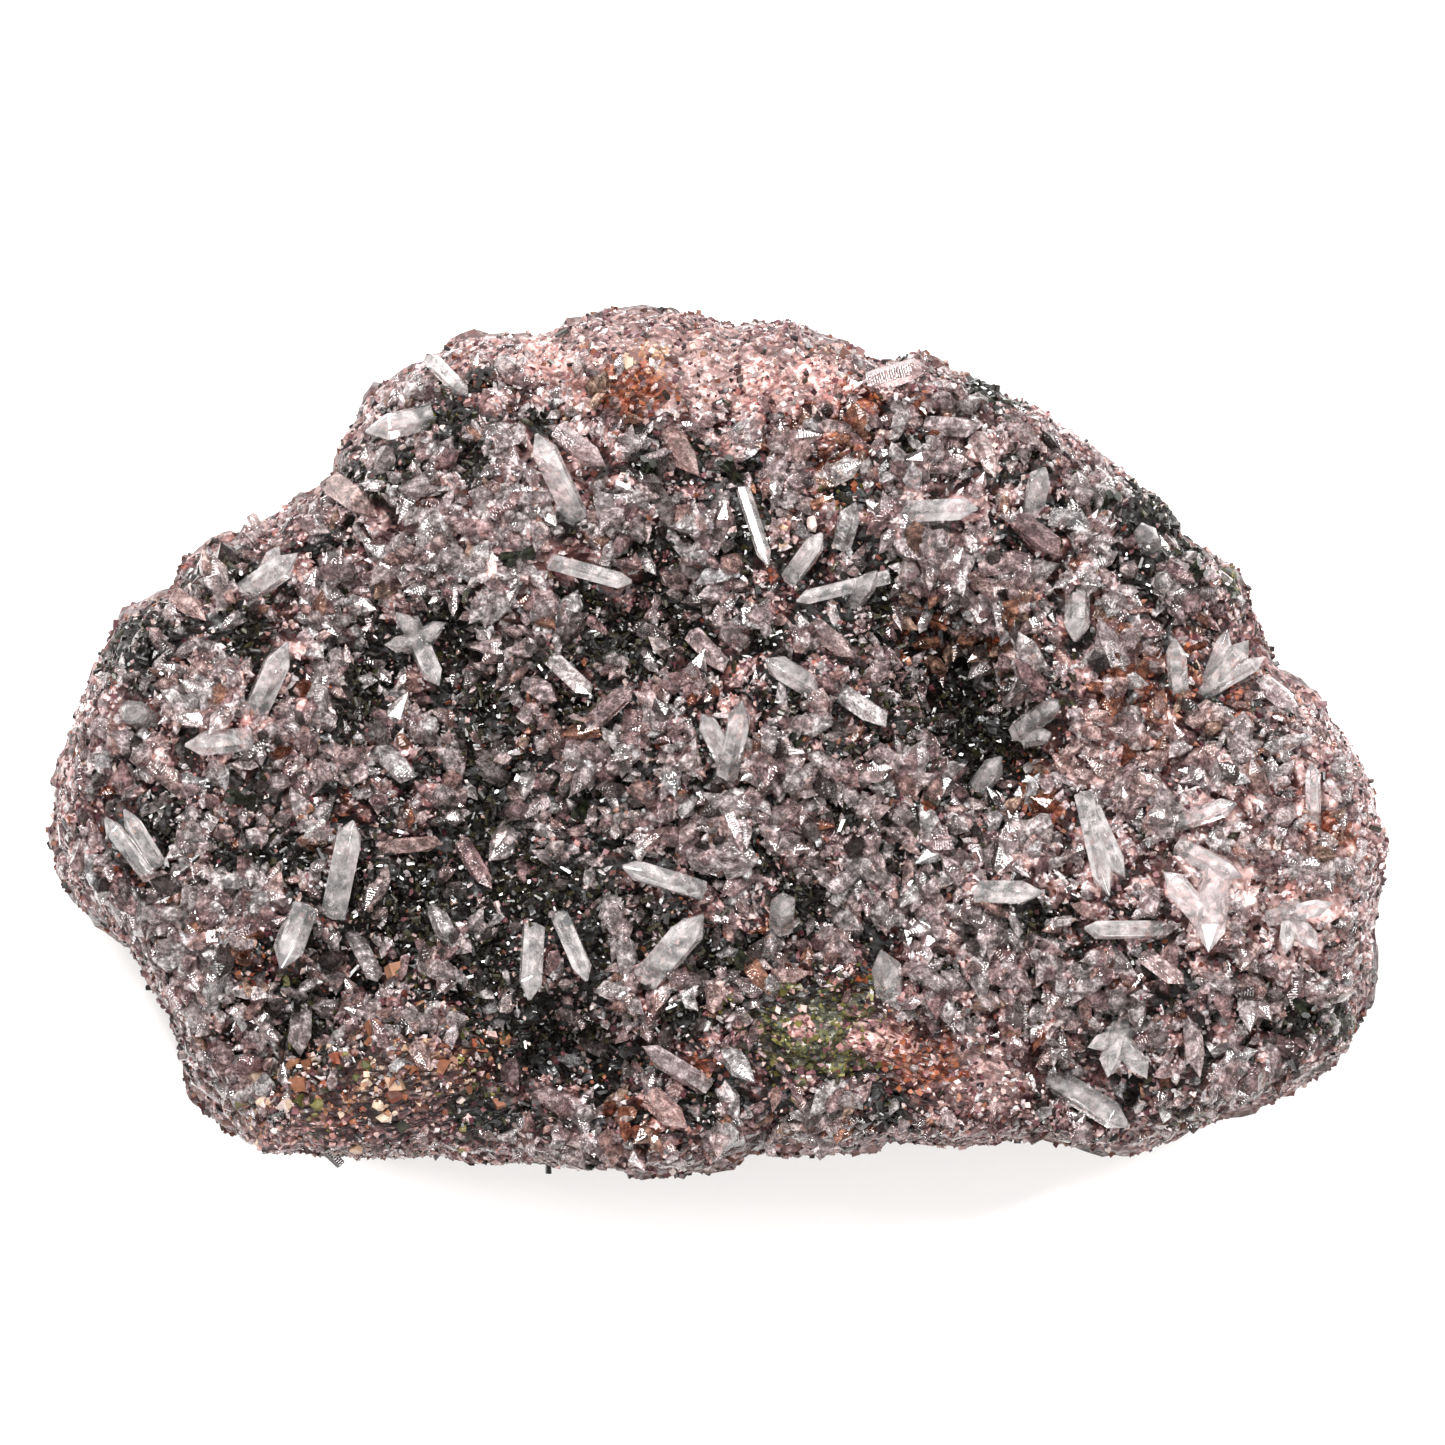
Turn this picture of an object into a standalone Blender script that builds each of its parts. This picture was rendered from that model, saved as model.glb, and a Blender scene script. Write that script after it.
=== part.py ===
"""Quartz and epidote crystal cluster: clear quartz points and dark green epidote on a slab of host rock.

The slab lies on its broken, flattened back with the crystal face up. The origin is the middle of the
resting face, +X runs along the slab, +Y up the crystal face and +Z out of it. Tables are in
millimetres, and the finished objects are in metres.
"""

import math
import random

import bmesh
import bpy
from mathutils import Matrix, Vector, noise

MM = 0.001

# Driving dimensions of the slab, in millimetres.
SHOULDER_HEIGHT = 27.0
CROWN_RISE = 6.0
WIDEST_HEIGHT = 13.0
SHOULDER_INSET = 5.5
BACK_INSET = 11.0
ROCK_INSET = 0.45
HALF_LENGTH = 66.0
HALF_WIDTH = 42.0

# Corners of the slab's outline, anticlockwise from the right end.
OUTLINE = (
    (67.0, -11.5), (66.0, -4.6), (63.0, 1.0), (56.3, 8.0), (53.4, 14.6), (52.7, 17.2), (46.8, 21.0),
    (44.8, 24.6), (37.2, 29.6), (28.4, 35.8), (24.2, 37.4), (20.8, 39.6), (16.2, 39.0), (11.0, 40.8),
    (7.0, 42.8), (1.8, 42.2), (-10.4, 43.8), (-18.2, 41.2), (-24.8, 40.8), (-34.0, 36.4),
    (-37.6, 30.4), (-38.8, 26.6), (-46.2, 22.2), (-54.2, 18.6), (-55.0, 15.4), (-59.6, 13.2),
    (-62.8, 7.4), (-66.4, -2.4), (-67.4, -9.2), (-67.0, -13.4), (-63.6, -16.8), (-59.4, -20.4),
    (-55.8, -27.4), (-53.8, -34.8), (-51.2, -37.6), (-45.6, -41.2), (-37.6, -41.6), (-28.4, -41.6),
    (-18.2, -42.4), (-5.8, -43.6), (-1.0, -43.4), (4.8, -41.2), (18.6, -40.0), (32.4, -39.8),
    (40.8, -41.4), (44.0, -41.2), (50.2, -38.2), (62.0, -32.6), (65.6, -26.0), (65.6, -19.0),
)

# Large forms of the crystal face: middle x and y, long and short radius, turn in degrees, height.
FORMS = (
    (24.5, 4.0, 11.5, 6.0, -58, -14.0),     # deep hollow right of the middle
    (-32.0, 10.0, 14.0, 6.0, -58, -8.0),    # valley under the upper left block
    (-27.0, -10.0, 9.0, 7.0, 0, -5.5),      # dark hollow left of the middle
    (-39.0, -25.0, 12.0, 4.6, 48, -6.0),    # gully above the lower left lip
    (-16.0, -30.5, 10.0, 5.0, -10, -7.0),   # hollow at the lower middle
    (-23.0, 24.0, 15.0, 12.0, 0, 4.5),      # upper left block
    (1.0, 1.5, 14.0, 9.0, 0, 4.0),          # middle ridge
    (-33.0, -33.0, 15.0, 5.0, 18, 4.5),     # lower left lip
    (-51.0, 2.0, 12.0, 11.0, 0, 2.5),       # left lobe
    (9.0, -28.0, 12.0, 8.0, 0, 3.0),        # lower hump
    (51.0, -11.0, 15.0, 14.0, 0, 3.5),      # right block
    (36.5, -34.0, 7.0, 3.6, -15, -6.0),     # hollow at the lower right
    (46.0, 11.0, 8.0, 3.4, -8, -5.0),       # rusty pit at the upper right
    (34.0, 5.0, 7.0, 4.0, 35, 3.0),         # crest beside the deep hollow
    (-8.5, 13.5, 9.0, 4.0, -5, -3.5),       # trough above the middle ridge
    (15.0, -18.5, 7.0, 3.4, 0, -3.0),       # trough under the middle ridge
    (-15.0, -5.5, 6.0, 5.0, 0, -3.0),       # pit left of the middle ridge
)

# Faces of bare rock with few crystals: middle x and y, long and short radius, turn in degrees.
BARE_FACES = (
    (-2.0, 38.5, 21.0, 6.5, -4),
    (-31.0, -35.5, 20.0, 6.5, 14),
    (11.0, -29.0, 10.0, 5.5, 0),
    (24.0, -33.0, 11.0, 5.0, -8),
)

# Quartz crystals that stand out, each a node: prisms as root x and y, tip x and y, width, lift in degrees.
QUARTZ = {
    "quartz_upper_left_point": ((-27.6, 37.2, -23.9, 33.4, 1.9, 20),),
    "quartz_long_clear_point": ((-14.8, 24.0, -18.0, 30.7, 2.8, 24),),
    "quartz_flat_face_point": ((3.0, 23.5, 5.0, 17.3, 1.7, 14),),
    "quartz_rusty_tipped_pair": ((15.0, 16.1, 7.1, 14.1, 1.7, 14), (14.0, 14.9, 15.6, 17.0, 2.4, 55)),
    "quartz_leaning_right_point": ((-14.8, 17.5, -8.3, 15.7, 2.0, 20),),
    "quartz_pink_upper_point": ((8.0, 17.6, 10.4, 20.9, 2.2, 30),),
    "quartz_bright_end_point": ((20.0, 23.1, 26.0, 23.3, 2.6, 22),),
    "quartz_beige_point": ((31.4, 24.2, 32.2, 27.7, 2.3, 40),),
    "quartz_square_end_point": ((42.8, 19.9, 42.0, 21.7, 2.7, 65),),
    "quartz_honey_fan": (
        (49.3, 6.3, 52.6, 10.3, 2.1, 20),
        (49.0, 6.8, 50.6, 11.3, 1.9, 24),
        (49.8, 6.0, 54.2, 8.6, 1.8, 18),
    ),
    "quartz_rusty_pit_point": ((45.6, 6.3, 45.2, 10.7, 2.2, 25),),
    "quartz_crest_point": ((30.8, 1.9, 35.6, 5.5, 2.5, 15), (31.6, 0.6, 34.0, 1.0, 1.6, 35)),
    "quartz_blunt_point": ((35.6, 13.5, 35.4, 10.1, 2.7, 45),),
    "quartz_hollow_edge_point": ((26.3, -3.9, 28.4, -1.0, 2.5, 40),),
    "quartz_long_right_pair": ((36.6, -6.9, 38.4, -15.2, 2.5, 18), (37.8, -8.2, 40.0, -13.2, 1.9, 22)),
    "quartz_right_group": (
        (47.4, -16.6, 43.9, -12.4, 2.5, 22),
        (47.2, -11.0, 51.8, -13.4, 2.3, 22),
        (49.0, -14.2, 48.1, -20.6, 3.2, 20),
    ),
    "quartz_right_upper_point": ((47.2, -7.2, 51.4, -5.8, 2.2, 28),),
    "quartz_lens_point": ((27.4, -14.7, 32.4, -14.7, 2.7, 20),),
    "quartz_upright_right_point": ((58.9, -6.2, 58.7, -1.6, 1.6, 22),),
    "quartz_right_end_group": (
        (56.3, -16.9, 60.8, -15.9, 2.0, 24),
        (57.0, -17.6, 59.4, -20.4, 2.0, 30),
        (56.6, -17.4, 56.0, -20.8, 1.8, 26),
    ),
    "quartz_tan_point": ((41.8, -18.4, 35.8, -18.4, 2.2, 16),),
    "quartz_lower_right_spray": (
        (39.6, -29.2, 38.3, -33.0, 2.1, 34),
        (40.0, -29.6, 42.6, -33.2, 2.1, 30),
        (39.8, -29.0, 36.6, -30.0, 1.8, 40),
    ),
    "quartz_bottom_edge_point": ((34.6, -34.2, 41.2, -38.2, 2.7, 12),),
    "quartz_middle_point": ((-3.3, -14.0, -9.7, -12.0, 2.1, 20),),
    "quartz_large_clear_point": ((-5.9, -22.0, -1.5, -16.8, 3.1, 24),),
    "quartz_glassy_point": ((-18.4, -19.9, -18.7, -25.7, 2.7, 24),),
    "quartz_leaning_glassy_point": ((-15.0, -18.6, -12.8, -23.6, 2.1, 26),),
    "quartz_grey_end_point": ((6.3, -17.0, 6.4, -14.7, 2.8, 60),),
    "quartz_frosted_stub": ((16.8, -23.4, 16.2, -20.2, 3.1, 48),),
    "quartz_middle_pair": ((0.2, -0.8, -1.6, 3.0, 2.1, 35), (1.2, -1.2, 2.5, 4.4, 3.0, 30)),
    "quartz_white_left_point": ((-48.2, 0.3, -53.0, -0.2, 2.3, 12),),
    "quartz_broad_pink_point": ((-45.3, 4.4, -42.5, 10.4, 3.4, 24),),
    "quartz_tan_topped_point": ((-37.9, -15.2, -36.1, -7.2, 3.1, 24),),
    "quartz_striped_point": ((-41.8, -18.0, -43.4, -22.6, 3.0, 24),),
    "quartz_grey_block_end": ((-57.5, 2.9, -58.7, 3.6, 3.1, 66),),
    "quartz_left_edge_pair": ((-57.5, -11.8, -61.0, -7.1, 2.0, 20), (-56.6, -10.4, -59.0, -6.4, 2.1, 24)),
    "quartz_upper_left_pair": ((-45.5, 15.9, -41.5, 18.7, 2.5, 24), (-45.2, 16.4, -43.4, 19.7, 2.1, 30)),
    "quartz_star_spray": (
        (-30.0, 10.5, -27.8, 5.6, 2.1, 22),
        (-30.0, 10.5, -31.8, 13.2, 1.9, 40),
        (-29.8, 10.4, -26.9, 12.0, 1.9, 36),
        (-30.2, 10.2, -33.2, 9.6, 1.9, 34),
    ),
    "quartz_upper_edge_block": ((-30.3, 32.0, -35.2, 30.7, 2.9, 12),),
    "quartz_ridge_point": ((7.8, 6.5, 4.4, 8.5, 2.7, 30),),
}

# Smaller quartz points seen in the photo and fused to the rock, in the same order of numbers.
SET_POINTS = (
    (-14.4, 29.8, -11.0, 27.2, 2.2, 25), (26.4, 29.0, 27.6, 26.6, 2.0, 40),
    (31.2, 21.0, 34.0, 18.8, 2.4, 35), (55.4, 5.0, 57.4, 3.4, 2.6, 40),
    (43.6, -22.0, 46.0, -23.8, 2.2, 35), (1.6, -31.4, 3.4, -33.8, 2.2, 40),
    (-5.4, -36.2, -3.0, -38.4, 2.4, 30), (-32.6, -1.6, -30.2, -3.6, 2.4, 45),
    (-24.6, -11.4, -22.6, -14.6, 2.2, 30), (-35.6, -20.4, -33.8, -23.6, 2.2, 35),
    (-52.6, 13.8, -50.2, 12.2, 2.0, 25), (-37.0, 25.0, -33.0, 22.4, 2.8, 30),
    (-1.4, 9.6, 0.8, 7.2, 2.2, 40), (-11.0, 3.4, -8.4, 5.8, 2.0, 25),
    (-15.4, 7.4, -12.6, 4.8, 2.2, 35), (-4.0, 29.4, -2.2, 26.4, 2.4, 40),
    (10.8, 10.6, 13.2, 8.6, 2.2, 45), (13.4, 4.2, 16.8, 1.8, 2.4, 30),
    (-41.7, -28.0, -41.7, -31.0, 2.6, 38), (-2.8, -33.0, -7.6, -30.0, 2.6, 18),
    (47.0, -28.9, 47.4, -33.2, 2.1, 28), (12.6, 21.2, 13.5, 24.2, 2.2, 45),
    (16.8, 36.4, 21.0, 37.6, 2.4, 10), (-31.6, -10.2, -27.4, -9.8, 2.1, 18),
)

# Epidote crystals big enough to name, each a small sheaf: root x and y, direction in degrees, lift.
EPIDOTE = (
    (-7.2, 26.6, 75, 50), (1.4, 26.8, 120, 45), (-19.6, 18.6, 200, 40), (38.6, 23.6, 60, 50),
    (46.6, 16.6, 30, 40), (-13.4, -6.0, 250, 45), (-47.0, -5.6, 160, 45), (1.8, -20.6, 300, 45),
    (57.4, -25.6, 320, 40), (8.6, 0.8, 200, 48),
)
EPIDOTE_LENGTH = 3.6
EPIDOTE_WIDTH = 1.5

# Small quartz points that are part of the crust and fused to the rock.
CRUST_SEED = 29
CRUST_TRIES = 1500
CRUST_COUNT = 46
CRUST_LENGTHS = (3.6, 5.6)
CRUST_WIDTHS = (1.5, 2.4)
CRUST_SPACING = 5.6
CRUST_CLEARANCE = 3.4
CRUST_TILT = 0.55

ROOT_DEPTH = 2.0
SOCKET_GAP = 0.3
ROCK_SUBDIVISIONS = 5
ROCK_KEPT = 0.5
BACK_ALLOWANCE = 0.8
TOP_SHARE = 0.62
BACK_SHARE = 0.5


def outline_reach(angle):
    """Distance from the middle to the outline, in millimetres, in a direction given in radians."""
    corners = sorted((math.atan2(y, x), math.hypot(x, y)) for x, y in OUTLINE)
    corners.insert(0, (corners[-1][0] - math.tau, corners[-1][1]))
    corners.append((corners[1][0] + math.tau, corners[1][1]))
    for (start, near), (end, far) in zip(corners, corners[1:]):
        if start <= angle <= end:
            return near + (far - near) * (angle - start) / (end - start)
    return corners[0][1]


def turned(x, y, middle_x, middle_y, turn):
    """A place on the face, seen from a form's middle and along its own axes."""
    turn = math.radians(turn)
    across, along = x - middle_x, y - middle_y
    return (
        across * math.cos(turn) + along * math.sin(turn),
        along * math.cos(turn) - across * math.sin(turn),
    )


def mound(x, y, middle_x, middle_y, long_radius, short_radius, turn):
    """From 1 in the middle of an oval form to 0 outside it."""
    u, v = turned(x, y, middle_x, middle_y, turn)
    return math.exp(-((u / long_radius) ** 2 + (v / short_radius) ** 2) ** 1.3)


def face_height(x, y):
    """Height of the crystal face over the resting face, in millimetres."""
    share = math.hypot(x, y) / outline_reach(math.atan2(y, x))
    height = SHOULDER_HEIGHT + CROWN_RISE * (1 - share**2)
    height += sum(form[5] * mound(x, y, *form[:5]) for form in FORMS)
    height += 1.7 * noise.noise(Vector((x / 9, y / 9, 3.1)))
    height += 0.9 * noise.noise(Vector((x / 4.2, y / 4.2, 7.7)))
    return height


def bareness(x, y):
    """1 on a face of bare rock, 0 where crystals cover it."""
    return max(mound(x, y, *face) for face in BARE_FACES)


def edge_shape(turn):
    """Height of the widest place and width of the rounded shoulder, in a direction given in radians."""
    rough = Vector((math.cos(turn) * 5.2, math.sin(turn) * 4.2, 1.3))
    return WIDEST_HEIGHT + 7.0 * noise.noise(rough * 0.45), SHOULDER_INSET + 3.0 * noise.noise(rough * 0.7)


def surface_height(x, y):
    """Height of the rock at a place on the plan, with the rounded shoulder outside the crystal face."""
    turn = math.atan2(y, x)
    widest, inset = edge_shape(turn)
    brink = outline_reach(turn) - ROCK_INSET - inset
    past = math.hypot(x, y) - brink
    if past <= 0:
        return face_height(x, y)
    edge_height = face_height(brink * math.cos(turn), brink * math.sin(turn))
    return widest + (edge_height - widest) * math.sqrt(max(0.0, 1 - (past / inset) ** 2))


def surface_normal(x, y):
    """Direction square to the rock's surface."""
    step = 1.2
    slope_x = (surface_height(x + step, y) - surface_height(x - step, y)) / (2 * step)
    slope_y = (surface_height(x, y + step) - surface_height(x, y - step)) / (2 * step)
    return Vector((-slope_x, -slope_y, 1)).normalized()


def rock_point(unit):
    """Where a point of the unit sphere goes on the slab: crystal face, broken sides or resting face."""
    turn = math.atan2(HALF_WIDTH * unit.y, HALF_LENGTH * unit.x)
    reach = outline_reach(turn) - ROCK_INSET
    widest, inset = edge_shape(turn)
    rough = Vector((math.cos(turn) * 5.2, math.sin(turn) * 4.2, unit.z * 2.6))
    edge_share = TOP_SHARE if unit.z >= 0 else BACK_SHARE
    share = (1 - abs(unit.z)) / edge_share
    if unit.z < 0:
        inset = BACK_INSET + 6.0 * noise.noise(rough * 0.8)
    around = (math.cos(turn), math.sin(turn))
    if share <= 1:
        plan = math.sqrt(share) * (reach - inset)
        x, y = plan * around[0], plan * around[1]
        return Vector((x, y, face_height(x, y) if unit.z >= 0 else -BACK_ALLOWANCE))
    down = (share - 1) / (1 / edge_share - 1) * math.pi / 2
    edge = (reach - inset) * around[0], (reach - inset) * around[1]
    edge_height = face_height(*edge) if unit.z >= 0 else -BACK_ALLOWANCE
    broken = 1.4 * noise.noise(rough * 2.3) + 1.2 * noise.noise(rough * 4.1)
    plan = reach - inset * (1 - math.sin(down)) + math.sin(2 * down) * broken
    height = widest + (edge_height - widest) * math.cos(down)
    return Vector((plan * around[0], plan * around[1], height))


def add_prism(bm, root, direction, length, width, draw):
    """Adds one six-sided quartz prism with an uneven six-faced point."""
    point = min(0.85 * width, 0.4 * length)
    depth = length - point
    made = bmesh.ops.create_cone(
        bm, cap_ends=True, segments=6, radius1=width / 2, radius2=width / 2, depth=depth
    )["verts"]
    top = [v for v in made if v.co.z > 0]
    for vert in top:
        vert.co.z += draw.uniform(-0.16, 0.16) * width
    cap = next(f for f in top[0].link_faces if all(v in top for v in f.verts))
    peak = bmesh.ops.poke(bm, faces=[cap])["verts"]
    for vert in peak:
        vert.co = Vector((draw.uniform(-0.12, 0.12) * width, draw.uniform(-0.12, 0.12) * width, depth / 2 + point))
    flatness = draw.uniform(0.78, 1.1)
    spin = Matrix.Rotation(draw.uniform(0, math.pi / 3), 3, "Z")
    turn = direction.to_track_quat("Z", "Y").to_matrix()
    for vert in made + peak:
        flat = Vector((vert.co.x * flatness, vert.co.y, vert.co.z + depth / 2))
        vert.co = root + turn @ (spin @ flat)


def add_blade(bm, root, direction, draw):
    """Adds one blunt, flat-sided epidote blade."""
    made = bmesh.ops.create_cone(
        bm,
        cap_ends=True,
        segments=6,
        radius1=EPIDOTE_WIDTH / 2,
        radius2=EPIDOTE_WIDTH * 0.36,
        depth=EPIDOTE_LENGTH,
    )["verts"]
    turn = direction.to_track_quat("Z", "Y").to_matrix()
    slant = draw.uniform(0.3, 0.5)
    for vert in made:
        end = slant * vert.co.x if vert.co.z > 0 else 0
        flat = Vector((vert.co.x * 0.8, vert.co.y, vert.co.z + end + EPIDOTE_LENGTH / 2))
        vert.co = root + turn @ flat


def lifted(across, along, lift):
    """Unit direction over the face plan, raised towards the viewer by lift degrees."""
    flat = Vector((across, along, 0)).normalized()
    lift = math.radians(lift)
    return flat * math.cos(lift) + Vector((0, 0, math.sin(lift)))


def prism_axis(prism):
    """Root point, direction and length of a named prism, with its root sunk in the rock."""
    root_x, root_y, tip_x, tip_y, width, lift = prism
    direction = lifted(tip_x - root_x, tip_y - root_y, lift)
    shown = math.hypot(tip_x - root_x, tip_y - root_y) / math.cos(math.radians(lift))
    surface = Vector((root_x, root_y, surface_height(root_x, root_y) + 0.2 * width))
    clear_lift = max(0.0, surface_height(tip_x, tip_y) + 0.35 * width - (surface + direction * shown).z)
    direction = (direction * shown + Vector((0, 0, clear_lift))).normalized()
    return surface - direction * ROOT_DEPTH, direction, shown + ROOT_DEPTH


def crust_points():
    """Root point, direction, length and width of the small quartz points fused to the rock."""
    draw = random.Random(CRUST_SEED)
    placed = [prism for prisms in QUARTZ.values() for prism in prisms] + list(SET_POINTS)
    named = [Vector(prism[0:2]).lerp(Vector(prism[2:4]), t) for prism in placed for t in (0, 0.5, 1)]
    named += [Vector(sheaf[0:2]) for sheaf in EPIDOTE]
    taken = []
    points = []
    for _ in range(CRUST_TRIES):
        x, y = draw.uniform(-HALF_LENGTH, HALF_LENGTH), draw.uniform(-HALF_WIDTH, HALF_WIDTH)
        sizes = draw.uniform(*CRUST_LENGTHS), draw.uniform(*CRUST_WIDTHS)
        tilt = Vector((draw.gauss(0, CRUST_TILT), draw.gauss(0, CRUST_TILT), draw.gauss(0, 0.2)))
        inside = math.hypot(x, y) < outline_reach(math.atan2(y, x)) - 3
        if not inside or bareness(x, y) > 0.5 or len(points) == CRUST_COUNT:
            continue
        place = Vector((x, y))
        if any((place - other).length < CRUST_SPACING for other in taken):
            continue
        if any((place - other).length < CRUST_CLEARANCE for other in named):
            continue
        taken.append(place)
        direction = (surface_normal(x, y) + tilt).normalized()
        direction.z = max(direction.z, 0.25)
        direction.normalize()
        surface = Vector((x, y, surface_height(x, y)))
        points.append((surface - direction * ROOT_DEPTH, direction, *sizes))
    return points


def collection_named(name):
    made = bpy.data.collections.new(name)
    bpy.context.scene.collection.children.link(made)
    return made


def object_from(bm, name, collection):
    """A mesh object in metres from a bmesh in millimetres."""
    bmesh.ops.scale(bm, vec=(MM, MM, MM), verts=bm.verts)
    bm.normal_update()
    bmesh.ops.recalc_face_normals(bm, faces=bm.faces)
    mesh = bpy.data.meshes.new(name)
    bm.to_mesh(mesh)
    bm.free()
    made = bpy.data.objects.new(name, mesh)
    collection.objects.link(made)
    return made


def as_cutter(obj):
    obj.hide_render = True
    obj.display_type = "WIRE"
    return obj


def boolean(obj, other, operation):
    """A live Boolean that joins other to obj or cuts it away."""
    modifier = obj.modifiers.new(operation.title(), "BOOLEAN")
    modifier.operation = operation
    modifier.solver = "EXACT"
    modifier.use_self = True
    modifier.object = other


def fused(name, solids, collection, cutters):
    """One node from solids that grew together: the first, joined to the rest by a Boolean."""
    main = object_from(solids[0], name, collection)
    for number, solid in enumerate(solids[1:], start=2):
        boolean(main, as_cutter(object_from(solid, f"{name}_{number}", cutters)), "UNION")
    return main


def stone_material(name, colour, roughness):
    material = bpy.data.materials.new(name)
    material.use_nodes = True
    shader = material.node_tree.nodes["Principled BSDF"]
    shader.inputs["Base Color"].default_value = (*colour, 1)
    shader.inputs["Roughness"].default_value = roughness
    shader.inputs["Metallic"].default_value = 0
    return material


def quartz_solids():
    """The prisms of every named quartz crystal, as separate solids that overlap where they grew together."""
    named = {}
    for number, (name, prisms) in enumerate(QUARTZ.items()):
        draw = random.Random(100 + number)
        named[name] = []
        for prism in prisms:
            bm = bmesh.new()
            add_prism(bm, *prism_axis(prism), prism[4], draw)
            named[name].append(bm)
    return named


def epidote_solids():
    """The blades of every named epidote crystal, two to a sheaf."""
    named = {}
    for number, (x, y, heading, lift) in enumerate(EPIDOTE, start=1):
        draw = random.Random(500 + number)
        blades = []
        for spread in (-18, 20):
            angle = math.radians(heading + spread)
            direction = lifted(math.cos(angle), math.sin(angle), lift + draw.uniform(-12, 12))
            surface = Vector((x, y, surface_height(x, y)))
            bm = bmesh.new()
            add_blade(bm, surface - direction * ROOT_DEPTH * 0.7, direction, draw)
            blades.append(bm)
        named[f"epidote_crystal_{number:02d}"] = blades
    return named


def sockets(named, cutters):
    """One cutter with every named crystal in it, grown on all sides by the gap it keeps to the rock."""
    cutter = bmesh.new()
    for solids in named.values():
        for solid in solids:
            grown = solid.copy()
            grown.normal_update()
            bmesh.ops.recalc_face_normals(grown, faces=grown.faces)
            grown.normal_update()
            places = [v.co + v.normal * v.calc_shell_factor() * SOCKET_GAP for v in grown.verts]
            for vert, place in zip(grown.verts, places):
                vert.co = place
            mesh = bpy.data.meshes.new("grown")
            grown.to_mesh(mesh)
            grown.free()
            cutter.from_mesh(mesh)
            bpy.data.meshes.remove(mesh)
    return as_cutter(object_from(cutter, "crystal_sockets", cutters))


def crust(cutters):
    """All the small quartz points as one helper, to be joined to the rock."""
    draw = random.Random(CRUST_SEED + 1)
    bm = bmesh.new()
    for prism in SET_POINTS:
        add_prism(bm, *prism_axis(prism), prism[4], draw)
    for root, direction, length, width in crust_points():
        add_prism(bm, root, direction, length, width, draw)
    return as_cutter(object_from(bm, "crust_points", cutters))


def back_cutter(cutters):
    """A block below the resting face, which trims the back flat."""
    bm = bmesh.new()
    bmesh.ops.create_cube(bm, size=200)
    for vert in bm.verts:
        vert.co.z -= 100
    return as_cutter(object_from(bm, "flat_back", cutters))


def host_rock(collection, cutters, named, material):
    """The slab of host rock with its crust of small points, and a socket for each named crystal."""
    socket_cutter = sockets(named, cutters)
    bm = bmesh.new()
    bmesh.ops.create_icosphere(bm, subdivisions=ROCK_SUBDIVISIONS, radius=1)
    for vert in bm.verts:
        vert.co = rock_point(vert.co)
    rock = object_from(bm, "host_rock", collection)
    rock.data.materials.append(material)
    thinner = rock.modifiers.new("Fewer faces", "DECIMATE")
    thinner.ratio = ROCK_KEPT
    boolean(rock, back_cutter(cutters), "DIFFERENCE")
    boolean(rock, crust(cutters), "UNION")
    boolean(rock, socket_cutter, "DIFFERENCE")
    return rock


def main():
    for obj in list(bpy.data.objects):
        bpy.data.objects.remove(obj, do_unlink=True)
    cluster = collection_named("crystal_cluster")
    cutters = collection_named("cutters")
    quartz = stone_material("Clear quartz", (0.74, 0.70, 0.70), 0.12)
    epidote = stone_material("Dark green epidote", (0.035, 0.045, 0.025), 0.3)
    rock = stone_material("Mauve and rusty host rock", (0.24, 0.16, 0.15), 0.75)
    named = quartz_solids() | epidote_solids()
    host_rock(cluster, cutters, named, rock)
    for name, solids in named.items():
        crystal = fused(name, solids, cluster, cutters)
        crystal.data.materials.append(quartz if name.startswith("quartz") else epidote)


main()
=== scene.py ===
"""Looks of the quartz and epidote crystal cluster.

The slab lies on its broken back with the crystal face up, as the camera sees it in the photograph.
The rock is remade with fine relief, and thousands of small quartz points, epidote blades and mineral
grains are strewn over it. The large crystals are the CAD's own, with bevelled edges and clear quartz.
Tables are in millimetres and the finished meshes in metres.
"""

import math
import random

import bmesh
import bpy
import numpy as np
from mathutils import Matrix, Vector, noise


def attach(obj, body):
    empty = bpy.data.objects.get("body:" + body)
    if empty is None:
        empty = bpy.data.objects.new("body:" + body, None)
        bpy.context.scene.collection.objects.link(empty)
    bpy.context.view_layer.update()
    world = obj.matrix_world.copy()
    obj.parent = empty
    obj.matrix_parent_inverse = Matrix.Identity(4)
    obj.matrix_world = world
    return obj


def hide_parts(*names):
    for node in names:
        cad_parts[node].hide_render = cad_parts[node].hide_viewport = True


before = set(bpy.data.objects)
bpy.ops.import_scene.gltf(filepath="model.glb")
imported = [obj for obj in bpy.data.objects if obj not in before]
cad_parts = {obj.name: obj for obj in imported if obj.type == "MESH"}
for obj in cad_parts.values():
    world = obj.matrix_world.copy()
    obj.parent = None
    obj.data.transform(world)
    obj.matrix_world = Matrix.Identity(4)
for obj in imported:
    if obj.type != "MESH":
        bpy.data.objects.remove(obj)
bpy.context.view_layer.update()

MM = 0.001

# Without a seed of its own, the noise in vectors would differ from one run to the next.
noise.seed_set(7)

# Shape of the slab, as in the part's own source.
SHOULDER_HEIGHT = 27.0
CROWN_RISE = 6.0
WIDEST_HEIGHT = 13.0
SHOULDER_INSET = 5.5
BACK_INSET = 11.0
ROCK_INSET = 0.45
HALF_LENGTH = 66.0
HALF_WIDTH = 42.0
TOP_SHARE = 0.62
BACK_SHARE = 0.5
BACK_ALLOWANCE = 0.8

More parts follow.
